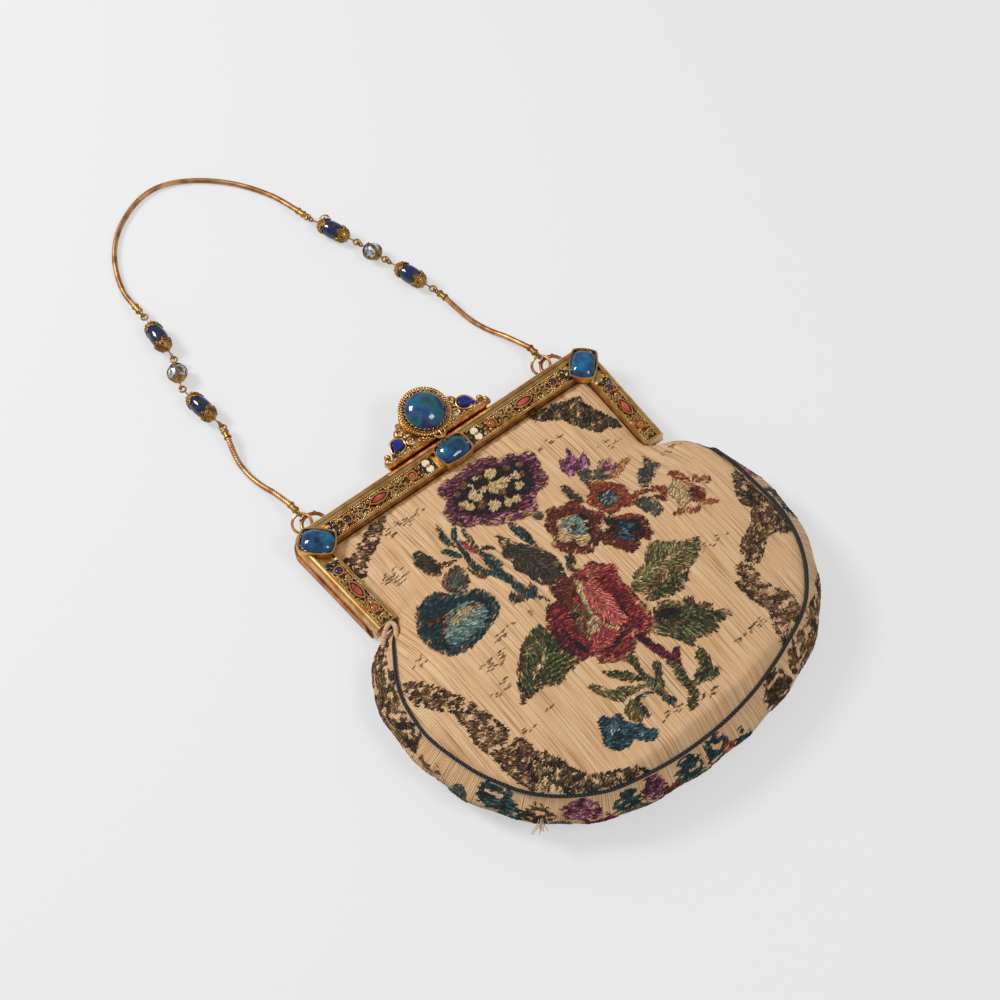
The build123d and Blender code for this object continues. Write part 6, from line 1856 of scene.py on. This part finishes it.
@dataclass
class CrestTrim:
    """Fine wirework on the openwork crest, sizes in mm."""

    centre: tuple[float, float] = (0.6, 67.6)
    tilt: float = 11.0
    seat_z: float = 15.3
    lean: Matrix = field(init=False)

    def __post_init__(self) -> None:
        """Work out how the dome leans: about a level line below its near edge."""
        hinge = mm(0, self.centre[1] - 11.2, 15.6)
        self.lean = Matrix.Translation(hinge) @ Matrix.Rotation(
            math.radians(self.tilt), 4, "X") @ Matrix.Translation(-hinge)

    def cup(self) -> None:
        """Collar from the crest's seat up to the leaning dome, with a narrow inner ledge."""
        x, y = self.centre
        ledge = 0.82
        bm = bmesh.new()
        bmesh.ops.create_cone(bm, cap_ends=False, segments=96, radius1=11.3 * MM, radius2=10.9 * MM, depth=1.4 * MM,
                              matrix=Matrix.Translation(mm(x, y, self.seat_z)))
        for vert in bm.verts:
            if vert.co.z > self.seat_z * MM:
                vert.co = self.lean @ vert.co
        inner = [edge for edge in bm.edges if edge.is_boundary and edge.verts[0].co.z > (self.seat_z + 0.4) * MM]
        made = bmesh.ops.extrude_edge_only(bm, edges=inner)["geom"]
        for vert in [v for v in made if isinstance(v, bmesh.types.BMVert)]:
            vert.co.x *= ledge
            vert.co.y = y * MM + (vert.co.y - y * MM) * ledge
        bmesh.ops.recalc_face_normals(bm, faces=bm.faces)
        piece("crest_cup", from_bmesh(bm), CREST_GILT, CLASP)

    def dome(self) -> None:
        """The marbled glass dome."""
        bm = bmesh.new()
        bmesh.ops.create_uvsphere(bm, u_segments=64, v_segments=40, radius=9.5 * MM,
                                  matrix=Matrix.Translation(mm(*self.centre, 16.6)) @ Matrix.Diagonal(
                                      (1, 1, 0.62, 1)))
        bmesh.ops.transform(bm, matrix=self.lean, verts=bm.verts)
        stone = piece("crest_dome", from_bmesh(bm), CREST_GLASS, CLASP)
        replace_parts(stone, "crest_stone")

    def wirework(self) -> None:
        """Rope ring, round wire and toothed collar round the dome."""
        x, y = self.centre
        outer = rope(ring(x, y, 16.6, 11.1, 320), 0.5 * MM, 2.5, True)
        outer.transform(self.lean)
        rounds = wires([ring(x, y, 16.9, 10.6, 120)], 0.3 * MM, 1, True)
        rounds.transform(self.lean)
        teeth = []
        for i in range(120):
            a = 2 * math.pi * i / 120
            radius = 9.5 if i % 4 < 2 else 9.1
            teeth.append(self.lean @ mm(x + radius * math.cos(a), y + radius * math.sin(a),
                                        17.4 + (0.9 if i % 4 in (1, 2) else 0.0)))
        piece("crest_rope_wire", join([outer, rounds, wires([teeth], 0.26 * MM, 1, True)]), CREST_GILT, CLASP)

    def grains(self) -> None:
        """Granules round the dome, in a row along the crest's foot and beside its scrolls."""
        seeds = [(self.lean @ p, 0.5 * MM, 0) for p in ring(*self.centre, 17.1, 10.15, 54)]
        seeds += [(mm(k * 2.6, 56.6, 16.0), 0.62 * MM, 0) for k in range(-10, 11)]
        seeds += [(mm(sign * px, py, pz), r * MM, 0) for sign in (-1, 1) for px, py, pz, r in (
            (9.2, 57.9, 15.9, 0.8), (15.4, 57.9, 15.9, 0.8),
            (26.8, 57.5, 15.9, 1.2), (25.4, 60.0, 15.6, 1.0), (13.4, 63.3, 15.9, 0.8))]
        piece("crest_grains", balls(seeds), CREST_GILT, CLASP)

    def shade_strip(self) -> None:
        """Plain strip of red brass below the crest, down to the frame: a dark sheet that stands for the shade under the
        crest's foot and closes the gap to the floor.
        """
        bm = bmesh.new()
        bmesh.ops.create_cube(bm, size=MM, matrix=Matrix.Translation(mm(0, 57.0, 12.0)) @ Matrix.Diagonal(
            (53.0, 1.4, 6.0, 1)))
        piece("crest_shade_strip", from_bmesh(bm), GILT_BACK, CLASP)

    def scrolls(self) -> None:
        """Spirals on the cast scrolls, drop-shaped collars, and the leaf at the front."""
        paths = []
        for sign in (-1, 1):
            paths.append(spiral(sign * 13.9, 66.4, 15.5, 2.2, 1.2, 120 if sign > 0 else 60, -sign))
            paths.append(spiral(sign * 12.2, 60.4, 15.5, 2.35, 1.2, -60 if sign > 0 else 240, sign))
            paths.append(spiral(sign * 20.6, 58.9, 15.7, 1.6, 1.3, 90, -sign))
            paths.append(spiral(sign * 6.6, 58.0, 16.0, 1.5, 1.3, 90, sign))
            turn = math.radians(-38 if sign > 0 else 218)
            collar = []
            for i in range(40):
                b = 2 * math.pi * i / 40
                reach = 3.45 + 1.5 * max(0.0, math.cos(b)) ** 2.5
                collar.append(turned(sign * 18.2, 62.0, 15.6, reach * math.cos(b), 3.45 * math.sin(b), turn))
            paths.append(collar + collar[:1])
        for bow in (-1, 1):
            paths.append([mm(bow * 2.6 * math.sin(math.pi * k / 8), 58.4 - 5.6 * k / 8, 16.2) for k in range(9)])
        paths.append([mm(0.0, 58.2, 16.3), mm(0.0, 55.2, 17.2), mm(0.0, 52.6, 16.6)])
        piece("crest_scroll_wire", wires(paths, 0.62 * MM, 1), CREST_GILT, CLASP)

    def build(self) -> None:
        """Dress the crest and add its wirework."""
        for node in ("crest", "crest_axle"):
            dress(node, CREST_GILT)
        for side in ("left", "right"):
            dress(f"crest_drop_{side}", LAPIS)
        self.cup()
        self.dome()
        self.wirework()
        self.grains()
        self.shade_strip()
        self.scrolls()


# ---------------------------------------------------------------- the handle
@dataclass(frozen=True)
class ChainRun:
    """One run of chain: its node, its route in metres from its exit, and what hangs on it."""

    node: str
    route: tuple[tuple[float, float, float], ...]
    far_end: str
    extra: tuple[str, ...]


@dataclass
class Handle:
    """Snake chains, their caps and the beads, in metres."""

    radius: float = 0.0013
    plait: float = 0.0013
    runs: tuple[ChainRun, ...] = (
        ChainRun("chain_left", (
            (-0.06984, 0.07160, 0.00688), (-0.0712, 0.0820, 0.0049), (-0.0726, 0.0886, 0.0024),
            (-0.0738, 0.0960, 0.0014), (-0.0741, 0.1035, 0.0015), (-0.0734, 0.1098, 0.0028),
            (-0.07111, 0.11789, 0.0049)), "connector",
            ("cap_left_ring", "cap_left_bead", "bead_left_first", "bead_left_last",
             "bead_mount_left_first", "bead_mount_left_middle", "bead_mount_left_last")),
        ChainRun("chain_right", (
            (0.06360, 0.07160, 0.00688), (0.0603, 0.0846, 0.0044), (0.0585, 0.0908, 0.0020),
            (0.0563, 0.0972, 0.0014), (0.0543, 0.1039, 0.0016), (0.0529, 0.1106, 0.0031),
            (0.05170, 0.11900, 0.0049)), "connector",
            ("cap_right_ring", "cap_right_bead", "bead_right_first", "bead_right_last",
             "bead_mount_right_first", "bead_mount_right_middle", "bead_mount_right_last")),
        ChainRun("chain_long", (
            (-0.06395, 0.20480, 0.0049), (-0.0637, 0.2116, 0.0032), (-0.0626, 0.2185, 0.0015),
            (-0.0600, 0.2273, 0.0014), (-0.0557, 0.2368, 0.0014), (-0.0502, 0.2447, 0.0014),
            (-0.0442, 0.2506, 0.0014), (-0.0379, 0.2549, 0.0014), (-0.0312, 0.2585, 0.0014),
            (-0.0238, 0.2609, 0.0014), (-0.0160, 0.2612, 0.0014), (-0.0079, 0.2588, 0.0014),
            (0.0004, 0.2539, 0.0014), (0.0078, 0.2476, 0.0014), (0.0145, 0.2402, 0.0014),
            (0.0196, 0.2326, 0.0014), (0.0236, 0.2250, 0.0014), (0.0263, 0.2174, 0.0022),
            (0.02799, 0.20411, 0.0049)), "connector",
            ("cap_long_left", "cap_long_right")),
    )

    def plaited(self, s: np.ndarray, angle: np.ndarray) -> np.ndarray:
        """Radius factor of a plaited snake chain: rows of small V shapes."""
        fold = np.abs(((angle / math.pi * 2) % 2) - 1)
        return 0.93 + 0.10 * np.cos(2 * math.pi * (s / self.plait - 1.1 * fold))

    def chains(self) -> None:
        """Make the three runs of chain."""
        for run in self.runs:
            points = line_points([Vector(p) for p in run.route])
            mesh = tube(points, self.radius, 16, 0.00022, self.plaited)
            made = piece(f"{run.node}_plait", mesh, CHAIN_BRASS, BACK)
            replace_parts(made, run.node)
            extra = [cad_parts[name] for name in run.extra]
            if run.node != "chain_long":
                extra.append(bpy.data.objects[f"crystal_{'left' if 'left' in run.node else 'right'}"])

    def crystals(self) -> None:
        """Cut round beads, flat faceted, in the two middle mounts."""
        for side, x, y, turn in (("left", -69.36, 161.25, 68.3), ("right", 41.29, 161.99, -75.5)):
            bm = bmesh.new()
            place = Matrix.Translation(mm(x, y, 4.9)) @ Matrix.Rotation(math.radians(turn), 4, "Z")
            bmesh.ops.create_icosphere(bm, subdivisions=2, radius=4.25 * MM, matrix=place)
            made = piece(f"crystal_{side}", from_bmesh(bm), SILVER_GLASS, BACK, smooth=False)
            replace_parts(made, f"bead_{side}_middle")

    def petals(self) -> None:
        """Wire edges on the petals of the oval beads' caps, and two petals that are bent out."""
        paths, rings = [], []
        up = Vector((0, 0, 1))
        beads = (((-69.7, 124.8), (-72.54, 153.26)), ((-66.18, 169.24), (-63.89, 197.75)),
                 ((29.4, 197.2), (39.14, 170.31)), ((43.44, 153.66), (50.55, 125.96)))
        places = []
        for start, end in beads:
            a, b = Vector((*start, 4.9)), Vector((*end, 4.9))
            ahead = (b - a).normalized()
            places.append(((a + b) / 2, ahead, Vector((-ahead.y, ahead.x, 0))))
        for middle, ahead, side in places:
            for sign, k in [(sign, k) for sign in (-1, 1) for k in range(5)]:
                tip = math.radians(36 + 72 * k)
                path = []
                for i in range(13):
                    s = -1 + i / 6
                    x = 7.9 - 4.3 * (1 - s * s)
                    angle = tip + math.radians(33) * s * (1.15 - 0.35 * abs(s))
                    r = self.bead_radius(x) + 0.42
                    path.append((middle + ahead * sign * x + side * r * math.cos(angle)
                                 + up * r * math.sin(angle)) * MM)
                paths.append(path)
                for x, off in ((7.4, 0), (6.2, 15), (6.2, -15), (4.9, 0), (5.6, 34), (5.6, -34)):
                    angle = tip + math.radians(off)
                    rise = side * math.cos(angle) + up * math.sin(angle)
                    across = up * math.cos(angle) - side * math.sin(angle)
                    centre = middle + ahead * sign * x + rise * (self.bead_radius(x) + 0.5)
                    rings.append([(centre + (ahead * math.cos(c) + across * math.sin(c)) * 0.62) * MM
                                  for c in np.arange(7) * math.pi / 3.5])
        for middle, ahead, side in places[1:3]:
            bent = [(middle + ahead * x + side * y + up * z) * MM for x, y, z in (
                (-9.0, 1.6, 1.2), (-8.8, 3.2, 1.8), (-7.6, 4.6, 2.0), (-6.0, 5.0, 1.8), (-4.8, 4.2, 1.4),
                (-4.6, 2.6, 1.0))]
            paths.append([Vector(p) for p in line_points(bent)[::6]])
            rings.append([(middle + ahead * (0.8 * math.cos(c) - 6.6) + side * (3.7 + 0.8 * math.sin(c)) + up * 1.7)
                          * MM for c in np.arange(7) * math.pi / 3.5])
        piece("petal_rings", wires(rings, 0.2 * MM, 0, True), CAP_BRASS, BACK)
        piece("petal_wire", wires(paths, 0.28 * MM, 1), CAP_BRASS, BACK)

    @staticmethod
    def bead_radius(x: float) -> float:
        """Radius of an oval bead at a distance from its middle, in mm."""
        return 4.2 * math.sqrt(max(0.0, 1 - (x / 8.6) ** 2))

    def build(self) -> None:
        """Dress the handle and make its fine pieces."""
        for end in ("left_ring", "left_bead", "long_left", "long_right", "right_bead", "right_ring"):
            dress(f"cap_{end}", CAP_BRASS)
        for side in ("left", "right"):
            for place in ("first", "middle", "last"):
                dress(f"bead_mount_{side}_{place}", CAP_BRASS)
            for place in ("first", "last"):
                dress(f"bead_{side}_{place}", BEAD_GLASS)
        self.crystals()
        self.petals()
        self.chains()


# ---------------------------------------------------------------- stage
@dataclass
class Studio:
    """Pale floor, soft lights and the camera."""

    field_of_view: float = 30.0
    elevation: float = 59.35
    azimuth: float = -38.54
    target: tuple[float, float, float] = (0.00519, 0.01998, 0.0)
    distance: float = 0.8176
    floor_colour: str = "9A9A9B"
    sky_colour: str = "F4F5F7"
    sky_strength: float = 0.42

    def floor(self) -> None:
        """Large pale floor that shows its colour to the camera and keeps the shadow."""
        bm = bmesh.new()
        bmesh.ops.create_grid(bm, x_segments=1, y_segments=1, size=3.0)
        mesh = from_bmesh(bm)
        bench = Bench("Pale paper floor")
        # A little of its own light towards the camera lifts the paper to its colour; the shadow stays
        ray = add_node(bench.tree, "ShaderNodeLightPath").outputs
        seen = bench.math("MAXIMUM", bench.math("MAXIMUM", ray["Is Camera Ray"], ray["Is Glossy Ray"]),
                          ray["Is Transmission Ray"])
        mesh.materials.append(bench.coat({
            "Base Color": linear(self.floor_colour), "Roughness": 0.9, "Specular IOR Level": 0.0,
            "Emission Color": (1, 1, 1, 1), "Emission Strength": bench.math("MULTIPLY", seen, 0.5)}))
        mesh.name = "floor"
        made = bpy.data.objects.new("floor", mesh)
        bpy.context.scene.collection.objects.link(made)

    def lamp(self, name: str, place: tuple[float, float, float], size: float, power: float) -> None:
        """Soft square lamp that points at the purse."""
        data = bpy.data.lights.new(name, "AREA")
        data.size = size
        data.energy = power
        made = bpy.data.objects.new(name, data)
        made.location = place
        made.rotation_euler = (Vector((0, 0.05, 0)) - Vector(place)).to_track_quat("-Z", "Y").to_euler()
        bpy.context.scene.collection.objects.link(made)

    def lights(self) -> None:
        """Even studio light, a little stronger from the upper left."""
        world = bpy.data.worlds.new("studio")
        bpy.context.scene.world = world
        world.use_nodes = True
        feed(world.node_tree, world.node_tree.nodes["Background"],
             {"Color": linear(self.sky_colour), "Strength": self.sky_strength})
        self.lamp("key", (-0.62, 0.95, 0.95), 0.42, 14.0)
        self.lamp("fill", (0.35, -0.9, 1.2), 0.5, 6.5)

    def camera(self) -> None:
        """Camera at the photograph's place."""
        data = bpy.data.cameras.new("camera")
        data.sensor_width = 36
        data.angle = math.radians(self.field_of_view)
        a, e = math.radians(self.azimuth), math.radians(self.elevation)
        back = Vector((math.sin(a) * math.cos(e), -math.cos(a) * math.cos(e), math.sin(e)))
        made = bpy.data.objects.new("camera", data)
        made.location = Vector(self.target) + back * self.distance
        made.rotation_euler = (-back).to_track_quat("-Z", "Y").to_euler()
        bpy.context.scene.collection.objects.link(made)
        bpy.context.scene.camera = made

    def build(self) -> None:
        """Set the whole stage."""
        self.floor()
        self.lights()
        self.camera()
        bpy.context.scene.view_settings.view_transform = "Standard"


def main() -> None:
    """Build every piece."""
    logging.basicConfig(level=logging.INFO, format="%(message)s")
    FrameTrim().build()
    CrestTrim().build()
    PurseCloth().build()
    Handle().build()
    Studio().build()
    bpy.context.view_layer.update()


if __name__ == "__main__":
    main()
